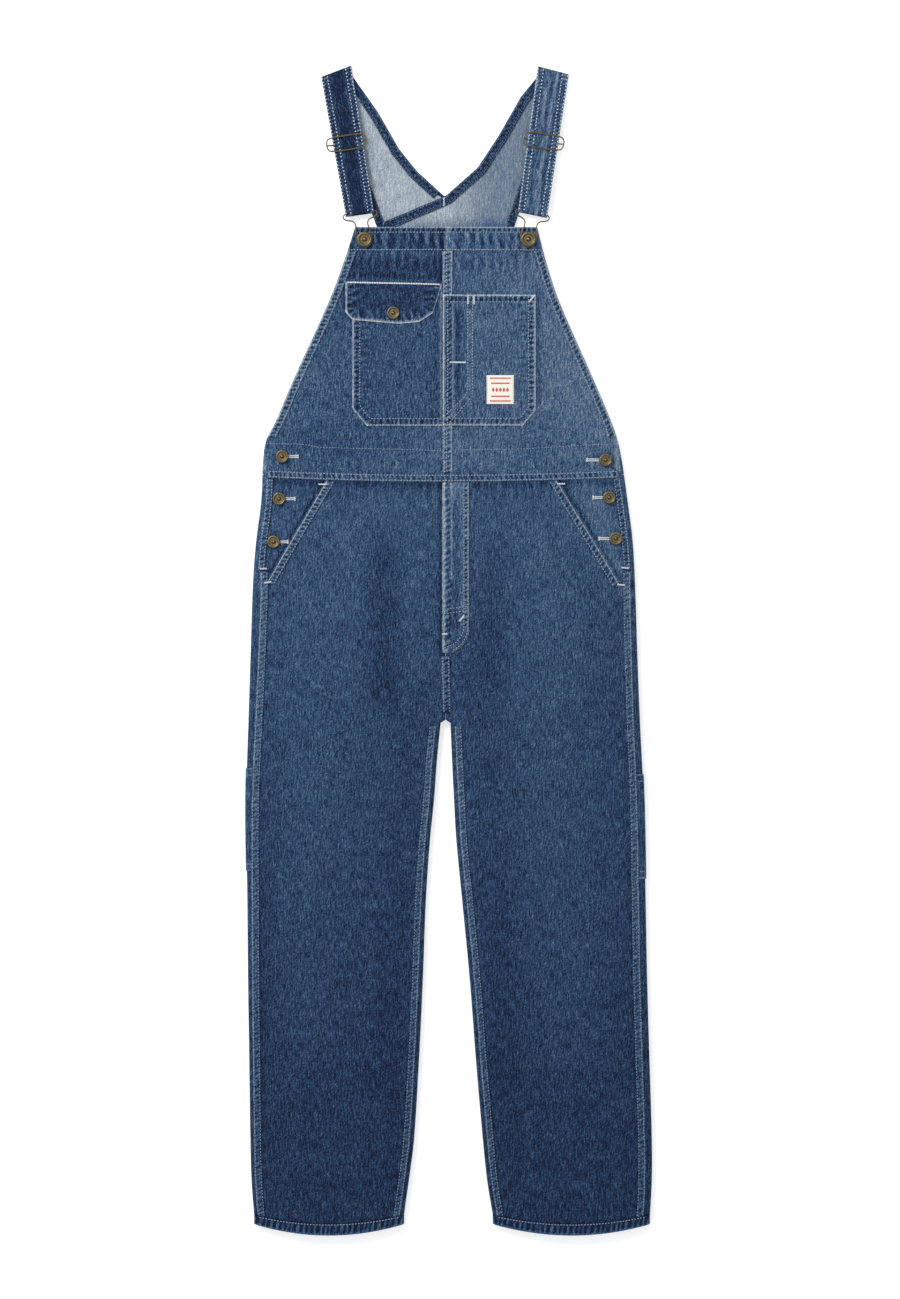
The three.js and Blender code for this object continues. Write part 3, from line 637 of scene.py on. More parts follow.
@dataclass
class Shell:
    """A closed thin shell between two grids of points.

    wash holds a value for each point of the outer grid, and place one where it isn't the point's plan
    position. A ring closes across its columns.
    """

    outer: Array
    inner: Array
    wash: Array
    place: Array | None = None
    ring: bool = False
    inner_wash: float | None = None

    def build(self, frame: Frame, name: str) -> Thing:
        """Makes the object.

        Args:
            frame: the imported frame.
            name: the piece's name.

        Returns:
            The object.
        """
        rows, columns = self.outer.shape[:2]
        number = np.arange(rows * columns).reshape(rows, columns)
        if self.ring:
            number = np.concatenate([number, number[:, :1]], axis=1)
        top = [number[:-1, :-1], number[:-1, 1:], number[1:, 1:], number[1:, :-1]]
        outside = np.stack([a.ravel() for a in top], axis=1)
        inside = outside[:, ::-1] + rows * columns
        borders = [number[0], number[-1][::-1]]
        if not self.ring:
            borders += [number[::-1, 0], number[:, -1]]
        under = rows * columns
        rims = [np.stack([b[1:], b[:-1], b[:-1] + under, b[1:] + under], axis=1) for b in borders]
        faces = np.concatenate([outside, inside, *rims])
        vertices = np.concatenate([self.outer.reshape(-1, 3), self.inner.reshape(-1, 3)])
        if self._inside_out(vertices, faces):
            faces = faces[:, ::-1]
        smooth = np.ones(len(faces), bool)
        smooth[len(outside) + len(inside):] = False
        piece = add_mesh(name, frame.metres(vertices), faces, smooth)
        wash = np.broadcast_to(self.wash, (rows, columns))
        inside_wash = wash if self.inner_wash is None else np.full((rows, columns), self.inner_wash)
        add_value(piece, "wash", np.concatenate([wash.ravel(), inside_wash.ravel()]))
        place = (self.outer[..., :2] if self.place is None else self.place).reshape(-1, 2)
        add_place(piece, np.concatenate([place, place]))
        return piece

    @staticmethod
    def _inside_out(vertices: Array, faces: Array) -> bool:
        """True if the faces enclose a negative volume.

        Args:
            vertices: the points.
            faces: four vertex numbers for each face.

        Returns:
            Whether the faces have to be turned.
        """
        a, b, c, d = (vertices[faces[:, k]] for k in range(4))
        volume = np.einsum("ij,ij->i", a, np.cross(b, c)) + np.einsum("ij,ij->i", a, np.cross(c, d))
        return float(volume.sum()) < 0


def offset_section(section: Array, distance: float, ring: bool = False) -> Array:
    """Moves rows of points square to their own line in the XZ plane.

    Args:
        section: rows of points.
        distance: how far they move.
        ring: True if each row closes on itself.

    Returns:
        The moved rows.
    """
    if ring:
        before, after = np.roll(section, 1, axis=1), np.roll(section, -1, axis=1)
    else:
        before = np.concatenate([section[:, :1], section[:, :-1]], axis=1)
        after = np.concatenate([section[:, 1:], section[:, -1:]], axis=1)
    dx, dz = after[..., 0] - before[..., 0], after[..., 2] - before[..., 2]
    length = np.hypot(dx, dz)
    moved = section.copy()
    moved[..., 0] -= dz / length * distance
    moved[..., 2] += dx / length * distance
    return moved


def border_distances(grid: Array) -> dict[str, Array]:
    """How far each point of a grid is from its four borders, along its rows and columns.

    Args:
        grid: rows of points.

    Returns:
        The distances by the border's name.
    """
    across = np.linalg.norm(np.diff(grid, axis=1), axis=-1)
    down = np.linalg.norm(np.diff(grid, axis=0), axis=-1)
    left = np.concatenate([np.zeros((grid.shape[0], 1)), np.cumsum(across, axis=1)], axis=1)
    top = np.concatenate([np.zeros((1, grid.shape[1])), np.cumsum(down, axis=0)], axis=0)
    return {"left": left, "right": left[:, -1:] - left, "top": top, "foot": top[-1:] - top}


def edge_wash(grid: Array, wear_and_shadow: EdgeWearAndShadow) -> Array:
    """The wash that worn borders add, and the dark painted shadow lines of borders given below 0.

    Args:
        grid: rows of points.
        wear_and_shadow: how much each border is worn, or below 0 how dark its painted shadow line is.

    Returns:
        The wash at each point.
    """
    away = border_distances(grid)
    total = np.zeros(grid.shape[:2])
    for name, distance in away.items():
        total += getattr(wear_and_shadow, name) * np.exp(-((distance / wear_and_shadow.width) ** 2))
    return total


@dataclass
class Patch:
    """A piece of cloth that lies over the upper layer.

    locate(u, v) gives its plan position and lift its height above the skin. Its wash is the body's and fade,
    or else wash(x, y).
    """

    ROUNDNESS: ClassVar[float] = 0.35
    THINNEST: ClassVar[float] = 0.3

    locate: Locate
    size: Point
    body: Relief
    step: float = 1.9
    thickness: float = CLOTH.band
    lift: float | Field = CLOTH.lift
    fade: float = 0.0
    wash: Field | None = None
    marks: Sequence[Roping | Streak] = ()
    wear_and_shadow: EdgeWearAndShadow = EdgeWearAndShadow()

    def under(self, x: Array, y: Array) -> Array:
        """Height of the patch's lower face."""
        lift = self.lift(x, y) if callable(self.lift) else self.lift
        return Skin.top(x, y) + self.body.at(x, y)[1] + lift

    def surface(self, x: Array, y: Array) -> Array:
        """Height of the patch's upper face."""
        return self.under(x, y) + self.thickness + Relief(self.marks).at(x, y)[1]

    def build(self, frame: Frame, name: str) -> Thing:
        """Makes the patch as a closed shell with rounded borders.

        Args:
            frame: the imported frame.
            name: the piece's name.

        Returns:
            The object.
        """
        u, v = np.meshgrid(stops(self.size[0], self.step), stops(self.size[1], self.step))
        x, y = self.locate(u, v)
        outer = points(x, y, self.surface(x, y))
        near = np.minimum.reduce(list(border_distances(outer).values()))
        outer[..., 2] -= self.thickness * self.ROUNDNESS * (1 - ease(0, 1.3, near))
        inner = points(x, y, np.minimum(self.under(x, y), outer[..., 2] - self.THINNEST))
        wash = self.wash(x, y) if self.wash else BODY_WASH(y) + self.fade
        wash = wash + Relief(self.marks).at(x, y)[0] + edge_wash(outer, self.wear_and_shadow)
        return Shell(outer, inner, wash).build(frame, name)

    def across(self, ends: Line, count: int) -> Array:
        """Points on the patch from one pair of (u, v) shares to another."""
        x, y = self.locate(*(mix(*pair, np.linspace(0, 1, count)) for pair in zip(*ends)))
        return points(x, y, self.surface(x, y))

    def over(self, line: Line, step: float = 1.5) -> Array:
        """Points on the patch along a path in plan."""
        return drape(line, self.surface, step)


def resample(line: Array, step: float) -> Array:
    """A path's points at even distances.

    Args:
        line: the path's points.
        step: distance between points.

    Returns:
        The new points.
    """
    run = np.concatenate([[0], np.cumsum(np.linalg.norm(np.diff(line, axis=0), axis=1))])
    at = np.linspace(0, run[-1], max(2, round(run[-1] / step) + 1))
    return np.stack([np.interp(at, run, line[:, k]) for k in range(line.shape[1])], axis=1)


def drape(line: Line, surface: Field, step: float = 1.5) -> Array:
    """Lays a path in plan on a surface.

    Args:
        line: the path's corners.
        surface: its height at each point.
        step: distance between points.

    Returns:
        Points on the surface.
    """
    plan = resample(np.array(line, float), step)
    return points(plan[:, 0], plan[:, 1], surface(plan[:, 0], plan[:, 1]))


def shifted(line: Line, distance: float) -> list[Point]:
    """A path moved to its left by a distance, with mitred corners.

    Args:
        line: the path's points.
        distance: how far it moves.

    Returns:
        The moved corners.
    """
    path = np.array(line, float)
    edge = np.diff(path, axis=0)
    edge /= np.linalg.norm(edge, axis=1)[:, None]
    normal = np.stack([-edge[:, 1], edge[:, 0]], axis=1)
    before, after = np.vstack([normal[:1], normal]), np.vstack([normal, normal[-1:]])
    both = before + after
    both /= (1 + np.sum(before * after, axis=1))[:, None]
    return [tuple(p) for p in path + both * distance]


class Graph:
    """A shader node group or material tree, with short calls to add and join nodes."""

    def __init__(self, tree: Tree) -> None:
        """Works on a tree."""
        self.tree = tree

    def node(self, kind: str, **settings: object) -> ShaderNode:
        """Adds a node and sets its properties.

        Args:
            kind: the node's type.
            **settings: properties by name.

        Returns:
            The node.
        """
        made = self.tree.nodes.new(kind)
        for name, value in settings.items():
            setattr(made, name, value)
        return made

    def link(self, source: Socket, target: Socket) -> None:
        """Joins two sockets."""
        self.tree.links.new(source, target)

    def math(self, operation: str, *values: Socket | float) -> Socket:
        """Adds a math node over sockets and numbers.

        Args:
            operation: what it works out.
            *values: sockets or numbers.

        Returns:
            Its result.
        """
        made = self.node("ShaderNodeMath", operation=operation)
        for socket, value in zip(made.inputs, values):
            if isinstance(value, Socket):
                self.link(value, socket)
            else:
                socket.default_value = value
        return made.outputs[0]

    def noise(self, place: Socket, size: Point, turn: float = 0,
              detail: float = 2) -> Socket:
        """Noise in grains of the given size in millimetres, centred on 0.

        Args:
            place: the cloth's place in millimetres.
            size: grain size along X and Y.
            turn: angle of the grain in degrees.
            detail: octaves of finer noise.

        Returns:
            The socket of the noise, from about -0.5 to 0.5.
        """
        lay = self.node("ShaderNodeMapping", vector_type="TEXTURE")
        lay.inputs["Rotation"].default_value[2] = math.radians(turn)
        lay.inputs["Scale"].default_value = (size[0], size[1], 1)
        self.link(place, lay.inputs["Vector"])
        grain = self.node("ShaderNodeTexNoise", noise_dimensions="2D")
        grain.inputs["Scale"].default_value = 1.0
        grain.inputs["Detail"].default_value = detail
        self.link(lay.outputs["Vector"], grain.inputs["Vector"])
        return self.math("SUBTRACT", grain.outputs["Fac"], 0.5)


def new_group(name: str, inputs: dict[str, str],
              outputs: dict[str, str]) -> tuple[Graph, ShaderNode, ShaderNode]:
    """Makes a node group with its sockets.

    Args:
        name: the group's name.
        inputs: socket kinds by name.
        outputs: socket kinds by name.

    Returns:
        Its graph, its input node and its output node.
    """
    tree = bpy.data.node_groups.new(name, "ShaderNodeTree")
    for label, kind in inputs.items():
        tree.interface.new_socket(label, in_out="INPUT", socket_type=kind)
    for label, kind in outputs.items():
        tree.interface.new_socket(label, in_out="OUTPUT", socket_type=kind)
    graph = Graph(tree)
    return graph, graph.node("NodeGroupInput"), graph.node("NodeGroupOutput")


def colour(red: int, green: int, blue: int) -> tuple[float, float, float, float]:
    """A display colour from 0 to 255 as linear values.

    Args:
        red: its red, from 0 to 255.
        green: its green.
        blue: its blue.

    Returns:
        Red, green, blue and alpha.
    """
    shares = [c / 255 for c in (red, green, blue)]
    linear = [c / 12.92 if c <= 0.0404 else ((c + 0.055) / 1.055) ** 2.4 for c in shares]
    return (*linear, 1.0)


class TwillGroup:
    """Indigo twill: turns a wash from 0 (raw) to 1 (white weft) into colour, height and roughness."""

    WASHES = (
        (0.0, (17, 27, 50)),
        (0.12, (31, 49, 80)),
        (0.30, (52, 79, 111)),
        (0.42, (77, 102, 130)),
        (0.62, (119, 132, 146)),
        (0.85, (164, 175, 185)),
        (1.0, (203, 208, 211)),
    )

    @classmethod
    def build(cls) -> Tree:
        """Makes the group.

        Returns:
            The group.
        """
        floats = {"Wash": "NodeSocketFloat", "Grain": "NodeSocketFloat"}
        graph, start, end = new_group(
            "twill",
            {"Place": "NodeSocketVector", **floats},
            {"Colour": "NodeSocketColor", "Height": "NodeSocketFloat", "Roughness": "NodeSocketFloat"},
        )
        place = start.outputs["Place"]
        slub = graph.noise(place, (1.7, 13.0), detail=3)
        diagonal = graph.noise(place, (1.7, 5.0), turn=-24, detail=1)
        speck = graph.noise(place, (1.5, 2.0), detail=1)
        mottle = graph.noise(place, (16, 34), detail=2)
        grain = graph.math("MULTIPLY", slub, 0.62)
        for source, share in ((diagonal, 0.42), (speck, 0.52)):
            grain = graph.math("MULTIPLY_ADD", source, share, grain)
        scaled = graph.math("MULTIPLY", grain, start.outputs["Grain"])
        mottled = graph.math("MULTIPLY_ADD", mottle, 0.13, scaled)
        wash = graph.math("ADD", mottled, start.outputs["Wash"])
        ramp = graph.node("ShaderNodeValToRGB")
        elements = ramp.color_ramp.elements
        for position, shade in cls.WASHES[1:-1]:
            elements.new(position).color = colour(*shade)
        elements[0].color = colour(*cls.WASHES[0][1])
        elements[-1].color = colour(*cls.WASHES[-1][1])
        graph.link(wash, ramp.inputs["Fac"])
        graph.link(ramp.outputs["Color"], end.inputs["Colour"])
        graph.link(grain, end.inputs["Height"])
        graph.link(graph.math("MULTIPLY_ADD", speck, 0.12, 0.86), end.inputs["Roughness"])
        return graph.tree


class MetalGroup:
    """Antique brass: bright where it is rubbed and dark in its hollows."""

    @classmethod
    def build(cls) -> Tree:
        """Makes the group.

        Returns:
            The group.
        """
        graph, start, end = new_group(
            "antique_metal",
            {"Place": "NodeSocketVector", "Hollow": "NodeSocketFloat"},
            {"Colour": "NodeSocketColor", "Roughness": "NodeSocketFloat"},
        )
        stain = graph.noise(start.outputs["Place"], (2.2, 2.2), detail=3)
        dark = graph.math("MULTIPLY_ADD", stain, 1.1, start.outputs["Hollow"])
        blend = graph.node("ShaderNodeMix", data_type="RGBA")
        blend.inputs[6].default_value = colour(138, 125, 92)
        blend.inputs[7].default_value = colour(50, 40, 28)
        graph.link(dark, blend.inputs[0])
        graph.link(blend.outputs[2], end.inputs["Colour"])
        graph.link(graph.math("MULTIPLY_ADD", dark, 0.3, 0.3), end.inputs["Roughness"])
        return graph.tree


@dataclass
class Finish:
    """Base of the finishes: each makes one material and gives it to pieces."""

    name: str
    slot: str | None

    def __post_init__(self) -> None:
        """Makes the material once."""
        self.material = bpy.data.materials.new(self.name)
        self.material.use_nodes = True
        self.graph = Graph(self.material.node_tree)
        self.shader = self.material.node_tree.nodes["Principled BSDF"]
        self.dress()

    def dress(self) -> None:
        """Joins the shader's sockets."""
        raise NotImplementedError

    def group(self, tree: Tree, **read: str) -> ShaderNode:
        """A node that uses a shared group.

        Args:
            tree: the group.
            **read: output of a vertex attribute, "Fac" or "Vector", by the attribute's name.

        Returns:
            The node, with the attributes joined to the sockets of the same names.
        """
        made = self.graph.node("ShaderNodeGroup", node_tree=tree)
        for name, output in read.items():
            source = self.graph.node("ShaderNodeAttribute", attribute_name=name)
            self.graph.link(source.outputs[output], made.inputs[name.capitalize()])
        for output, target in (("Colour", "Base Color"), ("Roughness", "Roughness")):
            self.graph.link(made.outputs[output], self.shader.inputs[target])
        return made

    def give(self, piece: Thing) -> Thing:
        """Puts the finish on a piece.

        Args:
            piece: the piece.

        Returns:
            The same piece.
        """
        piece.data.materials.clear()
        piece.data.materials.append(self.material)
        return piece


@dataclass
class Twill(Finish):
    """Indigo twill, with the strength of its slubs in colour and in relief."""

    tree: Tree
    grain: float
    bump: float = 0.35

    def dress(self) -> None:
        """Joins the twill group to the shader."""
        twill = self.group(self.tree, place="Vector", wash="Fac")
        twill.inputs["Grain"].default_value = self.grain
        relief = self.graph.node("ShaderNodeBump")
        relief.inputs["Strength"].default_value = self.bump
        relief.inputs["Distance"].default_value = 0.0006
        self.graph.link(twill.outputs["Height"], relief.inputs["Height"])
        self.graph.link(relief.outputs["Normal"], self.shader.inputs["Normal"])
        self.shader.inputs["Specular IOR Level"].default_value = 0.12


@dataclass
class AntiqueBrass(Finish):
    """Buttons and wires. hollow is how dark the metal is all over, or None to read it from each vertex."""

    tree: Tree
    hollow: float | None = None

    def dress(self) -> None:
        """Joins the metal group to the shader."""
        read = {"place": "Vector"} if self.hollow is not None else {"place": "Vector", "hollow": "Fac"}
        metal = self.group(self.tree, **read)
        if self.hollow is not None:
            metal.inputs["Hollow"].default_value = self.hollow
        self.shader.inputs["Metallic"].default_value = 0.75


@dataclass
class Plain(Finish):
    """A plain matt colour from 0 to 255, for thread, the label and the floor."""

    shade: tuple[int, int, int]
    roughness: float = 0.8

    def dress(self) -> None:
        """Sets the shader's constants."""
        self.shader.inputs["Base Color"].default_value = colour(*self.shade)
        self.shader.inputs["Roughness"].default_value = self.roughness
        self.shader.inputs["Specular IOR Level"].default_value = 0.15


class Wardrobe:
    """All the finishes, made once."""

    def __init__(self) -> None:
        """Makes the shared groups and every finish."""
        twill, metal = TwillGroup.build(), MetalGroup.build()
        self.denim = Twill("denim", "denim", twill, 1.0)
        self.light = Twill("denim_light", "denim_light", twill, 1.1)
        self.inside = Twill("denim_inside", "denim_inside", twill, 0.7, 0.3)
        self.facing = Twill("facing", "facing", twill, 1.25)
        self.brass = AntiqueBrass("brass", "brass", metal)
        self.wire = AntiqueBrass("brass_wire", "brass", metal, 0.42)
        self.thread = Plain("thread", None, (158, 172, 188))
        self.dull_thread = Plain("dull_thread", None, (112, 128, 148))
        self.bright_thread = Plain("bright_thread", None, (226, 230, 232))
        self.label = Plain("label", "label", (243, 238, 226))
        self.print = Plain("label_print", "label", (206, 92, 84))


class Sewing:
    """Rows of stitches that become one joined mesh."""

    PITCH = 3.9
    SINK = 0.12
    TACK_STEP = 0.9
    TACK_LEAN = 0.35
    TACK_RISE = 0.25
    RINGS = ((-1.0, 0.35), (-0.62, 1.0), (0.62, 1.0), (1.0, 0.35))

    def __init__(self, name: str) -> None:
        """Starts with no stitches."""
        self.name = name
        self.stitches: list[Array] = []

    def row(self, path: Array, pitch: float = PITCH, width: float = 1.15, fill: float = 0.58) -> None:
        """Sews along a path.

        Args:
            path: points of the path on the cloth.
            pitch: distance from one stitch to the next.
            width: thickness of the thread.
            fill: share of the pitch that each stitch covers.
        """
        even = resample(path, pitch)
        self._add((even[1:] + even[:-1]) / 2, (even[1:] - even[:-1]) / 2 * fill, width)

    def bartack(self, path: Sequence[Sequence[float]], width: float = 2.6, thread: float = 0.9) -> None:
        """Sews a short dense bar from the first point of a path to its last.

        Args:
            path: points on the cloth.
            width: the bar's width.
            thread: thickness of the thread.
        """
        start, end = np.array(path[0], float), np.array(path[-1], float)
        length = np.linalg.norm(end - start)
        count = max(3, round(float(length) / self.TACK_STEP))
        t = np.linspace(0, 1, count)[:, None]
        along = (end - start) / length
        across = np.cross([0, 0, 1.0], along)
        lean = across * width / 2 + along * self.TACK_LEAN * np.where(np.arange(count)[:, None] % 2, 1, -1)
        self._add(start + (end - start) * t + [0, 0, self.TACK_RISE], lean, thread)

    def _add(self, centres: Array, half: Array, width: float) -> None:
        """Adds a pinched diamond tube at each centre.

        Args:
            centres: middles of the stitches.
            half: from each middle to the stitch's end.
            width: thickness of the thread.
        """
        along = half / np.linalg.norm(half, axis=1)[:, None]
        side = np.cross(np.broadcast_to([0, 0, 1.0], half.shape), along)
        up = np.cross(along, side)
        corners = [(side, 1.0), (up, 0.9), (-side, 1.0), (-up, 0.9)]
        rings = [
            centres + half * reach + direction * share * size * width / 2
            for reach, size in self.RINGS for direction, share in corners
        ]
        made = np.stack(rings, axis=1)
        made[..., 2] += width / 2 - self.SINK
        self.stitches.append(made)

    def build(self, frame: Frame, finish: Finish) -> Thing:
        """Joins the stitches into one mesh.

        Args:
            frame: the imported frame.
            finish: the thread's finish.

        Returns:
            The object.
        """
        vertices = np.concatenate(self.stitches)
        one = [
            [r * 4 + c, r * 4 + (c + 1) % 4, r * 4 + 4 + (c + 1) % 4, r * 4 + 4 + c]
            for r in range(3) for c in range(4)
        ]
        one += [[3, 2, 1, 0], [12, 13, 14, 15]]
        faces = (np.array(one)[None] + 16 * np.arange(len(vertices))[:, None, None]).reshape(-1, 4)
        LOG.info("%s: %d stitches", self.name, len(vertices))
        return finish.give(add_mesh(self.name, frame.metres(vertices.reshape(-1, 3)), faces))


@dataclass(frozen=True)
class Rows:
    # Painted shade: the piece is darker from 22 mm above the bib's top edge downwards, where it runs under
    # the bib.
    """Rows of stitches from end to end of a strip, at shares of its width."""

    # Painted shadow: a dark line along the neck facing's edge, 12 mm in from the inner border.
    shares: tuple[float, ...]
    inset: float = 0.01
    crosswise: bool = False
    count: int = 200
    width: float = 1.15


class SubAssembly:
    """Base of the garment's parts, with the frame, the finishes and the stitches that they share."""

    frame: ClassVar[Frame]
    finishes: ClassVar[Wardrobe]
    body: ClassVar[Relief]
    thread: ClassVar[Sewing]
    dull: ClassVar[Sewing]
    bright: ClassVar[Sewing]

    @classmethod
    def open(cls) -> None:
        """Makes what the parts share."""
        cls.frame, cls.finishes, cls.body = Frame(), Wardrobe(), Relief(BODY_MARKS)
        cls.thread, cls.dull, cls.bright = map(Sewing, ("thread_rows", "dull_thread_rows", "bartacks"))

    @classmethod
    def close(cls) -> None:
        """Joins the stitches that the parts have sewn into one mesh for each thread."""
        cls.thread.build(cls.frame, cls.finishes.thread)
        cls.dull.build(cls.frame, cls.finishes.dull_thread)
        cls.bright.build(cls.frame, cls.finishes.bright_thread)

    def build(self) -> None:
        """Builds and dresses the part's pieces."""
        raise NotImplementedError

    def skin(self, x: Array, y: Array) -> Array:
        """Height of the body's cloth with its relief."""
        return Skin.top(x, y) + self.body.at(x, y)[1]

    def cloth(self, node: str, finish: Finish, made: Shell | Patch, flat: Point, rests: Sequence[str],
              area: float | None = None, name: str | None = None) -> None:
        """Builds a piece of cloth, finishes it and hides the CAD node that it stands for.

        Args:
            node: the CAD node that it stands for.
            finish: its finish.
            made: its shape.
            flat: width and length of its cut in millimetres; not used.
            rests: nodes whose cloth it lies on, or the floor.
            area: the cut's area in square millimetres where it isn't a rectangle; not used.
            name: the piece's name where it isn't the node's with "_cloth".
        """
        piece = finish.give(made.build(self.frame, name or f"{node}_cloth"))
        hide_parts(node)
        under = [rest if rest == "floor" else f"{rest}_cloth" for rest in rests]
        LOG.info("%s: %d faces", piece.name, len(piece.data.polygons))

    def strip(self, node: str, finish: Finish, patch: Patch, flat: Point, rests: Sequence[str],
              rows: Rows | None = None) -> Patch:
        """Builds a strip of cloth and sews along it.

        Args:
            node: the CAD node that it stands for.
            finish: its finish.
            patch: its shape.
            flat: width and length of its cut in millimetres.
            rests: nodes whose cloth it lies on.
            rows: its rows of stitches.

        Returns:
            The patch.
        """
        self.cloth(node, finish, patch, flat, rests)
        for share in rows.shares if rows else ():
            ends = (rows.inset, 1 - rows.inset)
            path = [(end, share) if rows.crosswise else (share, end) for end in ends]
            self.thread.row(patch.across(path, rows.count), width=rows.width)
        return patch


BODY_MARKS = (
    Roping(((-135, 519), (-4, 514), (128, 518)), -22, -1, 12, 0.075, 0.6, soft=6, bias=-0.2, seed=2.0),
    Roping(((-236, 222), (-4, 217), (228, 222)), -24, 0, 12, 0.055, 0.5, soft=5, bias=-0.3, seed=3.0),
    Roping(((-236, 236), (-4, 230), (228, 236)), 0, 14, 11, 0.06, 0.4, soft=4, seed=3.7),
    Roping(((-258, 90), (-262, -700)), -4, 34, 26, 0.022, 0.4, slant=0.7, soft=12, seed=5.7),
    Roping(((245, 90), (262, -700)), -34, 4, 24, 0.022, 0.4, slant=0.7, soft=12, seed=6.7),
    Roping(((-6, -100), (-58, -735)), -30, -8, 20, 0.02, 0.35, slant=0.8, soft=9, seed=2.7),
    Roping(((0, -100), (57, -735)), 8, 30, 21, 0.02, 0.35, slant=0.8, soft=9, seed=1.7),
    Roping(((-250, -733), (-150, -745), (-60, -733)), 2, 20, 9, 0.05, 0.35, soft=7, seed=1.1),
    Roping(((60, -733), (160, -745), (260, -733)), 2, 20, 9, 0.05, 0.35, soft=7, seed=3.1),
    Roping(((-164, 219), (-240, 86)), -3, 14, 10, 0.05, 0.4, slant=0.6, soft=4, seed=4.4),
    Roping(((145, 219), (225, 84)), -14, 3, 10, 0.05, 0.4, slant=0.6, soft=4, seed=5.4),
    # Painted shadow: a dark line with a shallow groove beside the fly's left edge.
    Streak(((-9.5, 217), (-9.5, -6)), 4, -0.16, -0.2),
    # These three paint dark lines with shallow grooves by the flap's end and the pockets' outer edges; the
    # darkening is painted shadow.
    Streak(((-115, 440), (-115, 320)), 3.5, -0.14, -0.2),
    Streak(((-135, 480), (-135, 445)), 3.5, -0.14, -0.2),
    Streak(((116, 466), (116, 320)), 3.5, -0.14, -0.2),
    Streak(((120, 470), (200, 300)), 70, 0.085),
    Streak(((186, 205), (222, 100)), 24, 0.10),
    Streak(((-243, 274), (-241, 232)), 3, 0.28),
    Streak(((217, 276), (220, 232)), 3.2, 0.26),
    Streak(((-185, 60), (-178, -500)), 42, 0.035),
    Streak(((-45, -60), (-88, -560)), 26, -0.035),
    Streak(((-236, -150), (-246, -560)), 16, -0.03),
    Streak(((118, 120), (150, -500)), 45, 0.035),
    Streak(((38, 40), (78, -560)), 26, -0.03),
    Streak(((236, -100), (246, -560)), 16, -0.03),
    Streak(((-200, 240), (200, 240)), 16, 0.03),
    Roping(((-133, 488), (-12, 485)), -3.5, 3, 6.4, 0.16, 0.3, soft=1.2, bias=-0.7, seed=6.3),
    Streak(((0, 262), (60, 262)), 26, 0.04),
    # Painted shade: this thigh trough is also painted darker, besides its real depth.
    Streak(((-84, 120), (-84, -60)), 22, -0.085, -0.8),
    Streak(((-128, 150), (-124, -80)), 20, 0.025, 0.6),
    Streak(((-48, 120), (-50, -80)), 12, 0.02, 0.3),
    # Painted shade: this thigh trough is also painted darker, besides its real depth.
    Streak(((62, 130), (58, -40)), 16, -0.045, -0.6),
    Streak(((150, 60), (150, -60)), 26, 0.02, 0.3),
    # Painted shadow: a dark line with a shallow groove beside the bib's centre seam.
    Streak(((-10, 515), (-10, 300)), 6, -0.13, -0.3),
    Streak(((-124, 500), (-14, 496)), 17, -0.15),
    Streak(((-150, 420), (-150, 290)), 75, -0.06),
    Streak(((-60, 265), (-190, 262)), 30, -0.03),
    # Painted shadow: a dark line just below the waist seam.
    Streak(((-230, 219), (-4, 213), (222, 219)), 5, -0.13),
    # Painted shade: this shin trough is also painted darker, besides its real depth.
    Streak(((-150, -330), (-150, -560)), 36, -0.015, -0.5),
    Streak(((-245, -300), (-244, -680)), 12, -0.02),
    Streak(((-62, -300), (-78, -690)), 14, -0.02),
    Streak(((246, -300), (250, -680)), 12, -0.02),
    Streak(((60, -300), (82, -690)), 14, -0.02),
)


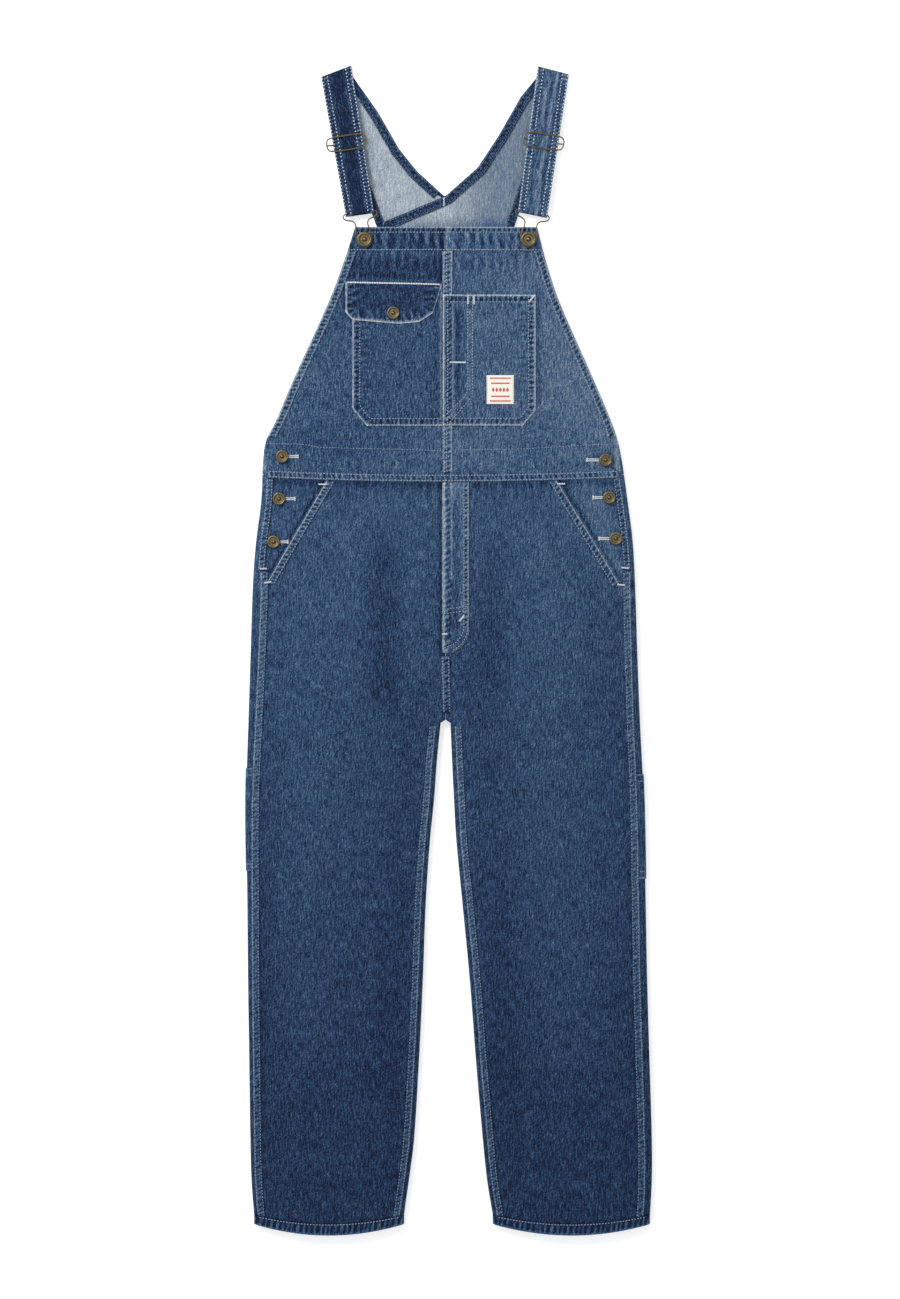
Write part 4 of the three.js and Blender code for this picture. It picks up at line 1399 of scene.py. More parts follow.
@dataclass(frozen=True)
class Studio:
    """Floor, light and camera of a bright product photo."""

    lens: float = 100.0
    sensor: float = 36.0
    view_long: float = 1688.7
    view_centre: tuple[float, float, float] = (1.3, 0.0, 12.0)
    floor_reach: float = 40.0
    floor_glow: float = 0.55
    sky_strength: float = 0.62
    lamp_size: float = 1.6
    lamp_power: float = 92.0
    lamp_place: tuple[float, float, float] = (-1.9, 2.1, 2.6)

    def build(self, frame: Frame) -> None:
        """Makes the floor, the lights and the camera.

        Args:
            frame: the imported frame.
        """
        self._floor()
        self._lights()
        self._camera(frame)

    @staticmethod
    def _put(name: str, data: bpy.types.ID) -> Thing:
        """Puts an object in the scene.

        Args:
            name: the object's name.
            data: what it shows.

        Returns:
            The object.
        """
        made = bpy.data.objects.new(name, data)
        bpy.context.scene.collection.objects.link(made)
        return made

    def _floor(self) -> None:
        """A white sheet that stays white up to the garment's contact shadow."""
        far = self.floor_reach
        mesh = bpy.data.meshes.new("floor")
        mesh.from_pydata([(-far, -far, 0), (far, -far, 0), (far, far, 0), (-far, far, 0)], [], [(0, 1, 2, 3)])
        finish = Plain("white_floor", None, (228, 228, 228), 0.95)
        finish.shader.inputs["Emission Color"].default_value = (1, 1, 1, 1)
        finish.shader.inputs["Emission Strength"].default_value = self.floor_glow
        mesh.materials.append(finish.material)
        self._put("floor", mesh)

    def _lights(self) -> None:
        """A pale surround, and one broad lamp from the upper left."""
        world = bpy.data.worlds.new("surround")
        world.use_nodes = True
        sky = world.node_tree.nodes["Background"]
        sky.inputs["Color"].default_value = (0.97, 0.985, 1.0, 1)
        sky.inputs["Strength"].default_value = self.sky_strength
        bpy.context.scene.world = world
        lamp = bpy.data.lights.new("key_lamp", "AREA")
        lamp.shape = "DISK"
        lamp.size = self.lamp_size
        lamp.energy = self.lamp_power
        key = self._put("key_lamp", lamp)
        key.location = self.lamp_place
        key.rotation_mode = "QUATERNION"
        key.rotation_quaternion = (-key.location).to_track_quat("-Z", "Y")

    def _camera(self, frame: Frame) -> None:
        """Looks straight down on the garment.

        Args:
            frame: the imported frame.
        """
        optics = bpy.data.cameras.new("camera")
        optics.lens, optics.sensor_width = self.lens, self.sensor
        optics.clip_end = 100
        camera = self._put("camera", optics)
        height = self.view_long / 2 / (self.sensor / 2 / self.lens)
        camera.location = Vector(frame.metres(np.array(self.view_centre) + [0, 0, height]))
        bpy.context.scene.camera = camera
        bpy.context.scene.view_settings.view_transform = "Standard"


ARC = np.radians(np.arange(0, 91, 15))[None, :]
HALF_TURN = np.radians(np.arange(0, 181, 18))[None, :]
LEG_STEP = 3.6


def leg_rows() -> Array:
    """Rows down a leg from the waist to the hem, as a column.

    Returns:
        The rows' heights.
    """
    above = np.arange(MARK.waist_y - CLOTH.gap, MARK.crotch_y + 12, -LEG_STEP)
    fork = np.array([12, 9, 6, 3, 0, -1.5, -4, -7, -11]) + MARK.crotch_y
    below = np.linspace(MARK.crotch_y - 15, MARK.hem_y + CLOTH.gap, 175)
    return np.concatenate([above, fork, below])[:, None]


@dataclass(frozen=True)
class Leg(SubAssembly):
    """One leg's front and back panels with the turned-up hem."""

    side: Side
    front_cut: Point = (250, 965)
    front_area: float = 205_000
    back_cut: Point = (300, 965)
    back_area: float = 255_000
    hem_cut: Point = (14, 412)

    def build(self) -> None:
        """Builds the panels and the hem."""
        self._front()
        self._back()
        self._hem()

    def _squared(self, outer: Array, end: int, upper: bool) -> Array:
        """Offsets a panel's section and squares its inner end.

        Args:
            outer: the panel's outer face.
            end: the inner end's column.
            upper: True for the front panel.

        Returns:
            The panel's inner face.
        """
        moved = offset_section(outer, self.side.sign * CLOTH.denim)
        inward = -CLOTH.denim if upper else CLOTH.denim
        is_open = Skin.parted(outer[:, end, 1])
        moved[:, end, 0] = outer[:, end, 0] + self.side.sign * CLOTH.denim * is_open
        moved[:, end, 1] = outer[:, end, 1]
        moved[:, end, 2] = outer[:, end, 2] + inward * (1 - is_open)
        return moved

    def _front(self) -> None:
        """The front panel, from the side seam to the inner edge."""
        side, rows = self.side, leg_rows()
        start = Skin.front_edge_x(side, rows) - side.sign * CLOTH.gap / 2
        turned = Skin.inner_round(side, rows, True, ARC)
        t = stops(225, LEG_STEP)[None, :-1]
        flat = Skin.upper(side, mix(start, turned[:, :1, 0], t), rows)
        outer = np.concatenate([flat, turned], axis=1)
        wash, height = self.body.at(outer[..., 0], outer[..., 1])
        outer[..., 2] += height * ease(0, 10, border_distances(outer)["right"])
        fold = edge_wash(outer, EdgeWearAndShadow(right=0.05, width=3)) * Skin.parted(rows)
        made = Shell(outer, self._squared(outer, -1, True), wash + BODY_WASH(outer[..., 1]) + fold)
        self.cloth(side.node("front_leg"), self.finishes.denim, made, self.front_cut,
                   [side.node("back_leg")], self.front_area)

    def _back(self) -> None:
        """The back panel, which wraps round to the side seam on the front."""
        side, rows = self.side, leg_rows()
        turned = Skin.inner_round(side, rows, False, ARC)[:, ::-1]
        outside = Skin.outer_round(side, rows, HALF_TURN)
        x = mix(turned[:, -1:, 0], outside[:, :1, 0], np.linspace(0, 1, 26)[None, 1:-1])
        floor = points(x, Skin.settle(side, x, rows, 0.0), 0)
        end = Skin.upper(side, Skin.seam_x(side, rows) + side.sign * CLOTH.gap / 2, rows)
        t = np.array([0.3, 0.65, 1.0])[None, :, None]
        outer = np.concatenate([turned, floor, outside, mix(outside[:, -1:], end, t)], axis=1)
        inner = self._squared(outer, 0, False)
        made = Shell(outer, inner, BODY_WASH(outer[..., 1]), inner_wash=0.6)
        self.cloth(side.node("back_leg"), self.finishes.denim, made, self.back_cut, ["floor"], self.back_area)

    def _hem(self) -> None:
        """The hem, a ring of thicker cloth with hard roping."""
        side = self.side
        row = np.array([[MARK.hem_y]])
        upper = Skin.inner_round(side, row, True, ARC)[0]
        lower = Skin.inner_round(side, row, False, ARC)[0][::-1]
        outside = Skin.outer_round(side, row, HALF_TURN)[0]
        t = np.linspace(0, 1, 130)[1:-1]
        top = Skin.upper(side, mix(outside[-1, 0], upper[0, 0], t), np.full(t.shape, MARK.hem_y))
        floor = points(mix(lower[-1, 0], outside[0, 0], np.linspace(0, 1, 50)[1:-1]), MARK.hem_y, 0)
        section = np.concatenate([top, upper, lower, floor, outside])
        share = np.clip(section[:, 2] / 13, 0, 1)
        edges = Skin.outer_x(side, MARK.hem_y), Skin.inner_x(side, MARK.hem_y)
        middle = arch((section[:, 0] - edges[0]) / (edges[1] - edges[0]))
        tall = MARK.hem_y - MARK.hem_edge_y
        drops = (stops(tall, 1.2) * tall)[:, None]
        y = Skin.settle(side, section[:, 0], MARK.hem_y, share) - drops * (1 + 0.25 * share * middle)
        outer = points(section[None, :, 0], y, section[None, :, 2])
        moved = offset_section(section[None], side.sign * CLOTH.hem, True)
        rope = bars(section[None, :, 0] + 0.2 * drops, 7.0, 1.3 + side.sign)
        band = ease(0.8, 3.2, drops) * (1 - ease(9.2, 11.4, drops))
        outer[..., 2] += 0.35 * rope * band * share
        wash = BODY_WASH(y) + 0.24 * rope * band + 0.24 * np.exp(-(((drops - 11.2) / 1.5) ** 2)) - 0.02
        made = Shell(outer, points(moved[..., 0], y, moved[..., 2]), wash, ring=True)
        self.cloth(side.node("hem"), self.finishes.denim, made, self.hem_cut, [side.node("front_leg")])
        line = points(top[:, 0], Skin.settle(side, top[:, 0], MARK.hem_y, 1.0) - 1.3, top[:, 2])
        self.thread.row(line)


def between(left: Edge, right: Edge, rows: Point, settle: Field = lambda x, y: y) -> Locate:
    """Places a strip that runs down between two edges.

    Args:
        left: the first edge's place at each height.
        right: the other edge's place.
        rows: heights of the strip's top and foot.
        settle: a row's height once the cloth has settled.

    Returns:
        A function from shares across and down to plan positions.
    """
    def locate(u: Array, v: Array) -> tuple[Array, Array]:
        """Plan position of a share across and down.

        Args:
            u: share across.
            v: share down.

        Returns:
            The position across and up.
        """
        y = mix(*rows, v)
        x = mix(left(y), right(y), u)
        return x, settle(x, y)

    return locate


def beside(side: Side, edge: Edge, rows: Point, ends: Point, settle: Field) -> Locate:
    """Places a strip that runs down beside an edge, from one distance inwards of it to another."""
    near, far = (side.sign * end for end in ends)
    return between(lambda y: edge(y) - near, lambda y: edge(y) - far, rows, settle)


def trace(x_at: Edge, rows: Point, count: int) -> Line:
    """Corners of a line that runs down through a function of the height."""
    return tuple((float(x_at(y)), float(y)) for y in np.linspace(*rows, count))


@dataclass(frozen=True)
class LegSeams(SubAssembly):
    """The felled outseam and inseam of one leg, as strips with two rows of stitching."""

    side: Side
    outseam_top: float = 101.0
    inseam_top: float = MARK.crotch_y - 8
    inseam_width: float = 9.0
    cut_width: float = 10.0

    def build(self) -> None:
        """Builds both seams."""
        side, sign = self.side, self.side.sign
        self._strip("outseam", self.outseam_top, MARK.seam_width, 1.0 + sign,
                    lambda y: Skin.outer_x(side, y) - sign * SIDE_SEAM[side](y))
        self._strip("inseam", self.inseam_top, -self.inseam_width, 4.0 + sign,
                    lambda y: Skin.inner_x(side, y) + sign * (MARK.side_round + 0.5))

    def _strip(self, part: str, top: float, reach: float, seed: float,
               edge: Edge) -> None:
        """A strip that follows an edge down to the hem.

        Args:
            part: the strip's part name.
            top: height where it starts.
            reach: its width, below 0 where it runs away from the garment's side.
            seed: varies its roping.
            edge: the edge's place at each height.
        """
        side, width = self.side, abs(reach)
        roped = width * 0.38
        rows = (top, MARK.hem_y + 2 * CLOTH.gap)
        middle = trace(lambda y: edge(y) - side.sign * reach / 2, rows, 16)
        marks = (
            Roping(middle, -roped, roped, 6.4, 0.13, 0.3, slant=0.4, soft=0.8, bias=-0.1, seed=seed),
            Streak(middle, 1.6, 0.05),
        )
        locate = beside(side, edge, rows, (0, reach), lambda x, y: Skin.settle(side, x, y))
        # The strip's right border, towards the middle of the leg, is painted darker as the shadow line at the
        # seam's edge; its left border is worn lighter.
        patch = Patch(locate, (width, rows[0] - rows[1]), self.body, step=1.5, marks=marks,
                      wear_and_shadow=EdgeWearAndShadow(left=0.24, right=-0.10, width=1.5), fade=0.09)
        self.strip(side.node(part), self.finishes.denim, patch, (self.cut_width, rows[0] - rows[1]),
                   [side.node("front_leg")], Rows((0.14, 0.86), inset=0.001, width=0.85))


@dataclass(frozen=True)
class Hip(SubAssembly):
    """The hip pocket, side opening and tool pocket of one side."""

    side: Side
    tool_rows: Point
    facing_drop: float
    facing_area: float
    tacks: tuple[Line, ...]
    facing_cut: Point = (72, 144)
    top: float = MARK.waist_y - CLOTH.gap
    seam_drop: float = 4.5
    edge_size: Point = (10.5, 152)
    edge_cut: Point = (10, 152)
    placket_size: Point = (9, 120)
    placket_cut: Point = (10, 120)
    placket_foot: float = 108.0
    lap_size: Point = (30, 124)
    lap_foot: float = 100.0

    def build(self) -> None:
        """Builds the hip's pieces."""
        self._facing()
        self._strips()
        self._tool_pocket()
        for ends in self.tacks:
            path = drape(ends, lambda x, y: Skin.top(x, y) + CLOTH.lift + CLOTH.band + 0.4, 1)
            self.bright.bartack(path, width=2.2)

    def _facing(self) -> None:
        """The cloth that shows between the pocket's edge and the side seam."""
        side, line = self.side, HIP_POCKET[self.side]
        rows = np.linspace(self.top, line.foot[1] + self.facing_drop, 52)[:, None]
        start = Skin.seam_x(side, rows) - side.sign * CLOTH.gap / 2
        end = line.x(rows) + side.sign * CLOTH.gap / 2
        outer = Skin.upper(side, mix(start, end, np.linspace(0, 1, 26)[None]), rows)
        wash, height = self.body.at(outer[..., 0], outer[..., 1])
        outer[..., 2] += height
        # Painted shadow: the facing darkens towards its right border, in the pocket's opening under the
        # pocket's edge.
        shade = -0.16 * np.exp(-((border_distances(outer)["right"] / 4.5) ** 2))
        inner = offset_section(outer, side.sign * CLOTH.denim)
        made = Shell(outer, inner, wash + BODY_WASH(outer[..., 1]) + shade)
        self.cloth(side.node("hip_facing"), self.finishes.denim, made, self.facing_cut,
                   [side.node("front_leg")], self.facing_area)

    def _strips(self) -> None:
        """The pocket's edge, the side placket and the underlap."""
        side, sign, top = self.side, self.side.sign, self.top
        line, edge = HIP_POCKET[side], OUTLINE[side]
        foot = line.foot[1] + 2
        front, back = [side.node("front_leg")], [side.node("back_leg")]

        def lowered(x: Array, y: Array) -> Array:
            """The strip's rows start just below the waist seam."""
            return Skin.sagged(x, y - self.seam_drop)

        run = tuple((float(line.x(y)) - sign * 6, y - 5) for y in (top, foot))
        marks = (Roping(run, -3.0, 2.6, 6.0, 0.26, 0.35, slant=0.35, soft=0.8, bias=-0.2, seed=2.4 + sign),)
        locate = beside(side, line.x, (top, foot), (CLOTH.gap, CLOTH.gap + 11), lowered)
        # Its inner border, away from the pocket's opening, is painted slightly darker as a shadow line; the
        # border at the opening is worn lighter.
        patch = Patch(locate, self.edge_size, self.body, step=1.4, marks=marks,
                      wear_and_shadow=EdgeWearAndShadow(left=0.4, right=-0.06, width=1.8), fade=0.07)
        self.strip(side.node("pocket_edge"), self.finishes.denim, patch, self.edge_cut, front,
                   Rows((0.12, 0.86)))

        run = tuple((float(edge(y)) - sign * 10, y) for y in (top, self.placket_foot))
        marks = (Roping(run, -2.6, 2.6, 6.2, 0.2, 0.25, slant=0.35, soft=0.8, seed=5.4 + sign),)
        start = MARK.side_round + 0.5
        locate = beside(side, edge, (top, self.placket_foot), (start, start + 9), lowered)
        # Its inner border is painted darker as a shadow line; its outer border is worn lighter.
        patch = Patch(locate, self.placket_size, self.body, step=1.5, marks=marks,
                      wear_and_shadow=EdgeWearAndShadow(left=0.2, right=-0.12, width=1.3))
        self.strip(side.node("side_placket"), self.finishes.denim, patch, self.placket_cut, back,
                   Rows((0.16, 0.84)))

        start = MARK.side_round + 4
        locate = beside(side, edge, (top - 4, self.lap_foot), (start, start + self.lap_size[0]), Skin.sagged)
        patch = Patch(locate, self.lap_size, Relief(()), step=4, thickness=CLOTH.denim,
                      lift=-(2 * CLOTH.denim + CLOTH.gap))
        self.strip(side.node("underlap"), self.finishes.denim, patch, self.lap_size, back)

    def _tool_pocket(self) -> None:
        """The narrow pocket that shows at the garment's side."""
        side, sign = self.side, self.side.sign
        top, foot = self.tool_rows
        rows = mix(top, foot, stops(top - foot, 1.6))[:, None]
        turned = Skin.outer_round(side, rows, np.radians(np.arange(90, 181, 9))[None])
        x = Skin.outer_x(side, rows) - sign * (SIDE_SEAM[side](rows) - CLOTH.gap)
        end = points(x, rows, Skin.top(x, rows))
        t = np.array([0.4, 0.75, 1.0])[None, :, None]
        section = np.concatenate([turned, mix(turned[:, -1:], end, t)], axis=1)
        outer = offset_section(section, -sign * (CLOTH.gap + CLOTH.band))
        ends = np.minimum(top - rows, rows - foot)
        rope = bars(outer[..., 0], 5.5, 2.0) * (1 - ease(9, 11, ends))
        wash = BODY_WASH(rows) + 0.02 + 0.2 * np.exp(-((ends / 1.8) ** 2)) + 0.10 * rope
        made = Shell(outer, offset_section(section, -sign * CLOTH.gap), wash)
        self.cloth(side.node("tool_pocket"), self.finishes.denim, made, (15, top - foot),
                   [side.node("back_leg")])
        for drop in (1.5, 8.5, top - foot - 8.5, top - foot - 1.5):
            row = int(np.argmin(np.abs(top - rows[:, 0] - drop)))
            self.thread.row(outer[row, 2:-1], pitch=2.4)


HIPS = {
    Side.RIGHT: Hip(
        Side.RIGHT, (-154.0, -288.0), 1.5, 5_600,
        (((-169, 214.6), (-159, 214.6)), ((-239, 86.5), (-231, 88)), ((-245.5, 105), (-237, 105))),
    ),
    Side.LEFT: Hip(
        Side.LEFT, (-162.0, -298.0), -9.5, 6_500,
        (((141, 215.2), (150.5, 215.2)), ((219, 84.5), (228, 83.5)), ((224.5, 106.5), (233, 105.5))),
    ),
}


@dataclass(frozen=True)
class Bib(SubAssembly):
    """The bib's two halves with their edges, top band and centre seam, and the waist seam below."""

    half_cut: Point = (240, 322)
    half_area: float = 59_100
    edge_size: Point = (10.2, 265)
    edge_cut: Point = (10.5, 265)
    band_size: Point = (244, 31)
    band_cut: Point = (246, 31)
    centre_width: float = 13.6
    centre_foot: float = 230.0
    waist_cut: Point = (462, 10)
    waist_inset: float = 7.0
    halves: tuple[str, str] = ("right_bib", "left_bib")
    level: Line = (
        (-237.9, 267.7), (-192.4, 267.2), (-167.7, 262.7), (-13, 258.6), (96.2, 260.7), (171.6, 265.3),
        (216, 267.4),
    )

    def build(self) -> None:
        """Builds the bib."""
        for side in Side:
            self._half(side)
            self._edge(side)
        self._band()
        self._centre()
        self._waist()

    def _half(self, side: Side) -> None:
        """One half, from the armhole's edge to the centre.

        Args:
            side: the wearer's side.
        """
        rows = mix(MARK.bib_top_y, MARK.waist_y + CLOTH.gap, stops(322, 3.0))[:, None]
        centre = MARK.bib_centre_x + side.sign * CLOTH.gap / 2
        x = mix(Skin.outer_x(side, rows), centre, stops(200, 3.0)[None])
        y = Skin.sagged(x, rows)
        wash, height = self.body.at(x, y)
        outer = points(x, y, Skin.top(x, y) + height)
        inner = offset_section(outer, side.sign * CLOTH.denim)
        made = Shell(outer, inner, wash + BODY_WASH(y), inner_wash=0.8)
        self.cloth(side.node("bib"), self.finishes.light, made, self.half_cut, ["back_bib"], self.half_area)
        if side is Side.RIGHT:
            self.thread.row(drape(self.level, self.skin), width=0.8)

    def _edge(self, side: Side) -> None:
        """The turned hem along the armhole.

        Args:
            side: the wearer's side.
        """
        rows = (MARK.band_foot_y - CLOTH.gap, MARK.armhole_foot_y)
        line = trace(lambda y: Skin.outer_x(side, y) - side.sign * 6, rows, 8)
        seed = 6.1 + side.sign
        roping = Roping(line, -3.2, 3.0, 6.2, 0.24, 0.4, slant=0.4, soft=0.8, bias=-0.15, seed=seed)
        locate = beside(side, OUTLINE[side], rows, (0.6, 11.6), lambda x, y: y)
        patch = Patch(locate, self.edge_size, self.body, step=1.4, marks=(roping,),
                      wear_and_shadow=EdgeWearAndShadow(left=0.45, right=0.2, width=1.8), fade=0.01)
        self.strip(side.node("bib_edge"), self.finishes.light, patch, self.edge_cut, [side.node("bib")],
                   Rows((0.14, 0.84), inset=0.004))

    def _band(self) -> None:
        """The band across the bib's top."""
        right, left = OUTLINE.values()
        rows = (MARK.bib_top_y, MARK.band_foot_y)
        locate = between(lambda y: right(y) + 0.6, lambda y: left(y) - 0.6, rows)
        top = ((130, 550), (-140, 550))
        marks = (
            Roping(top, 8, 29, 13, 0.14, 0.8, soft=2.5, bias=0.1, seed=1.2),
            Roping(top, 9, 30, 11, 0.10, 0.3, slant=0.5, soft=3, bias=-0.5, seed=9.2),
            Streak(((-2, 552), (-2, 510)), 4.4, 0.24),
            Streak(((60, 540), (60, 520)), 60, 0.05),
            # Painted shadow: this and the mark at x -7 are dark lines beside the centre seam's bright line
            # painted across the band.
            Streak(((-9, 552), (-9, 510)), 2.2, -0.17),
            Roping(top, 1.8, 6.0, 6.6, 0.30, 0.3, soft=0.7, bias=-0.35, seed=4.2),
            Streak(((-7, 550), (-7, 519)), 3.2, -0.12, -0.3),
            Streak(((0, 550), (0, 519)), 5.0, 0.09, 0.2),
        )
        patch = Patch(locate, self.band_size, self.body, step=1.8, marks=marks,
                      wash=lambda x, y: 0.22 + 0.07 * ease(-20, 20, x),
                      wear_and_shadow=EdgeWearAndShadow(top=0.4, foot=0.2, left=0.25, right=0.25, width=1.7))
        self.strip("bib_top_band", self.finishes.light, patch, self.band_cut, self.halves,
                   Rows((0.04, 0.23, 0.965), crosswise=True))

    def _centre(self) -> None:
        """The felled seam down the middle."""
        top, foot = MARK.band_foot_y - CLOTH.gap, self.centre_foot
        size = (self.centre_width, top - foot)
        middle = ((-2.2, 519), (-2.2, 230))
        marks = (
            Roping(middle, -4.2, 4.2, 6.2, 0.22, 0.25, slant=0.35, soft=1, bias=-0.2, seed=2.2),
            Streak(((-7.0, 519), (-7.0, 230)), 1.5, 0.32),
            Streak(((3.3, 519), (3.3, 230)), 1.5, 0.36),
        )
        locate = between(lambda y: -9.0, lambda y: 4.6, (top, foot))
        # The seam's left border is painted darker as its shadow line.
        patch = Patch(locate, size, self.body, step=1.5, marks=marks,
                      wear_and_shadow=EdgeWearAndShadow(left=-0.3, width=1.0), fade=0.06)
        self.strip("bib_centre_seam", self.finishes.light, patch, size, self.halves,
                   Rows((0.12, 0.44, 0.92), inset=0.003))

    def _waist(self) -> None:
        """The waist seam."""
        right = float(Skin.outer_x(Side.RIGHT, MARK.waist_y)) + self.waist_inset
        left = float(Skin.outer_x(Side.LEFT, MARK.waist_y)) - self.waist_inset

        def locate(u: Array, v: Array) -> tuple[Array, Array]:
            """Plan position on the seam."""
            x = mix(right, left, u)
            return x, Skin.waist_y(x) + mix(5.5, -4.0, v)

        line = tuple((float(x), float(Skin.waist_y(x))) for x in np.linspace(left, right, 14))
        roping = Roping(line, -3.4, 2.4, 6.4, 0.22, 0.4, slant=0.3, soft=0.8, bias=-0.1, seed=7.7)
        patch = Patch(locate, (left - right, 9.5), self.body, step=1.5, marks=(roping,),
                      wear_and_shadow=EdgeWearAndShadow(top=0.05, foot=0.22, width=1.3), wash=lambda x, y: 0.31)
        self.strip("waist_seam", self.finishes.denim, patch, self.waist_cut, self.halves,
                   Rows((0.16, 0.86), inset=0.004, crosswise=True, count=400))


@dataclass(frozen=True)
class Fly(SubAssembly):
    """The fly with its curved foot, and the seam below it down to the crotch."""

    top: float = 217.0
    foot: float = -4.0
    left: float = -9.0
    right: float = 26.0
    turn: float = 26.0
    turn_foot: float = -6.5
    cut: Point = (35, 221)
    area: float = 7_500
    rise_rows: Point = (-9.0, MARK.crotch_y + 9)
    rise_cut: Point = (11, 74)
    fronts: tuple[str, str] = ("right_front_leg", "left_front_leg")
    rows: tuple[Line, ...] = (
        ((19.5, 215), (19.5, 28), (17.5, 20), (14, 14), (8, 8), (0, 4), (-7, 2)),
        ((24.6, 215), (24.6, 28), (22.6, 17), (18, 9), (12.5, 3.4), (5, -1.5)),
        ((-7.4, 215), (-7.4, -2)),
        ((-7.2, 51.7), (24, 56)),
        ((-7.2, 46.2), (24, 50.4)),
    )
    tacks: tuple[Line, ...] = (((13.8, 37), (19.5, 44)), ((-8.5, 20), (-2.6, 20.2)))

    def build(self) -> None:
        """Builds the fly and the seam."""
        self._cover()
        self._rise()

    def _cover(self) -> None:
        """The fly's cover."""
        def locate(u: Array, v: Array) -> tuple[Array, Array]:
            """Plan position on the fly.

            Args:
                u: share across.
                v: share down.

            Returns:
                The position across and up.
            """
            y = mix(self.top, self.foot, v)
            t = np.clip((self.turn - y) / (self.turn - self.turn_foot), 0, 1)
            return mix(self.left, mix(self.left, self.right, np.sqrt(1 - t * t)), u), y

        marks = (
            Roping(((-9, 217), (-9, 0)), 2.5, 11, 8, 0.17, 0.4, slant=0.5, soft=2, bias=-0.3, seed=2.9),
            Roping(((22, 217), (22, 28)), -2.0, 2.0, 6.0, 0.3, 0.3, slant=0.3, soft=0.8, bias=-0.2, seed=3.9),
            Streak(((3, 215), (3, 90)), 1.5, 0.26, 0.3),
            Streak(((9, 195), (9, 30)), 5, -0.12, -0.2),
            Streak(((-4, 22), (16, 12)), 14, -0.10),
            Streak(((1, 205), (1, 30)), 2.2, -0.12, -0.2),
            Streak(((-7.2, 217), (-7.2, 0)), 2.2, 0.46),
        )
        # The fly's left border is painted darker as its shadow line; its right border and foot are worn
        # lighter.
        fly = Patch(locate, self.cut, self.body, step=1.8, marks=marks, thickness=CLOTH.pocket,
                    wear_and_shadow=EdgeWearAndShadow(left=-0.15, right=0.3, foot=0.3, width=1.5), fade=0.12)
        self.cloth("fly", self.finishes.light, fly, self.cut, self.fronts, self.area)
        for row in self.rows:
            self.thread.row(fly.over(row))
        for tack in self.tacks:
            self.bright.bartack(fly.over(tack, 1))

    def _rise(self) -> None:
        """The seam from the fly down to the crotch."""
        top, foot = self.rise_rows

        def locate(u: Array, v: Array) -> tuple[Array, Array]:
            """Plan position on the seam."""
            t = 1 - v
            return mix(mix(-8.0, -10.4, t), mix(2.5, 1.3, t), u), mix(top, foot, v)

        marks = (
            Roping(((-3.5, -9), (-3, -84)), -3, 3, 6.2, 0.2, 0.3, slant=0.4, soft=0.8, seed=8.0),
            Streak(((-8, -9), (-6, -84)), 1.5, 0.24),
            # Painted shade where the seam runs into the crotch.
            Streak(((-3, -78), (-3, -90)), 9, -0.12),
        )
        patch = Patch(locate, (11, top - foot), self.body, step=1.4, marks=marks,
                      wear_and_shadow=EdgeWearAndShadow(right=0.08, width=1.1))
        self.strip("front_rise_seam", self.finishes.denim, patch, self.rise_cut, self.fronts,
                   Rows((0.14, 0.84)))


@dataclass(frozen=True)
class Bag:
    """A chest pocket's bag with its outer foot corner clipped."""

    top: float
    foot: float
    clip: float
    inner_x: float
    outer_x: float
    clip_x: float

    def edge_x(self, y: Array) -> Array:
        """The bag's outer edge at each height."""
        return mix(self.clip_x, self.outer_x, np.clip((y - self.foot) / (self.clip - self.foot), 0, 1))

    @property
    def rim(self) -> Line:
        """The border from the outer top corner round to the inner foot corner."""
        side = (self.outer_x, self.top), (self.outer_x, self.clip)
        return *side, (self.clip_x, self.foot), (self.inner_x, self.foot)


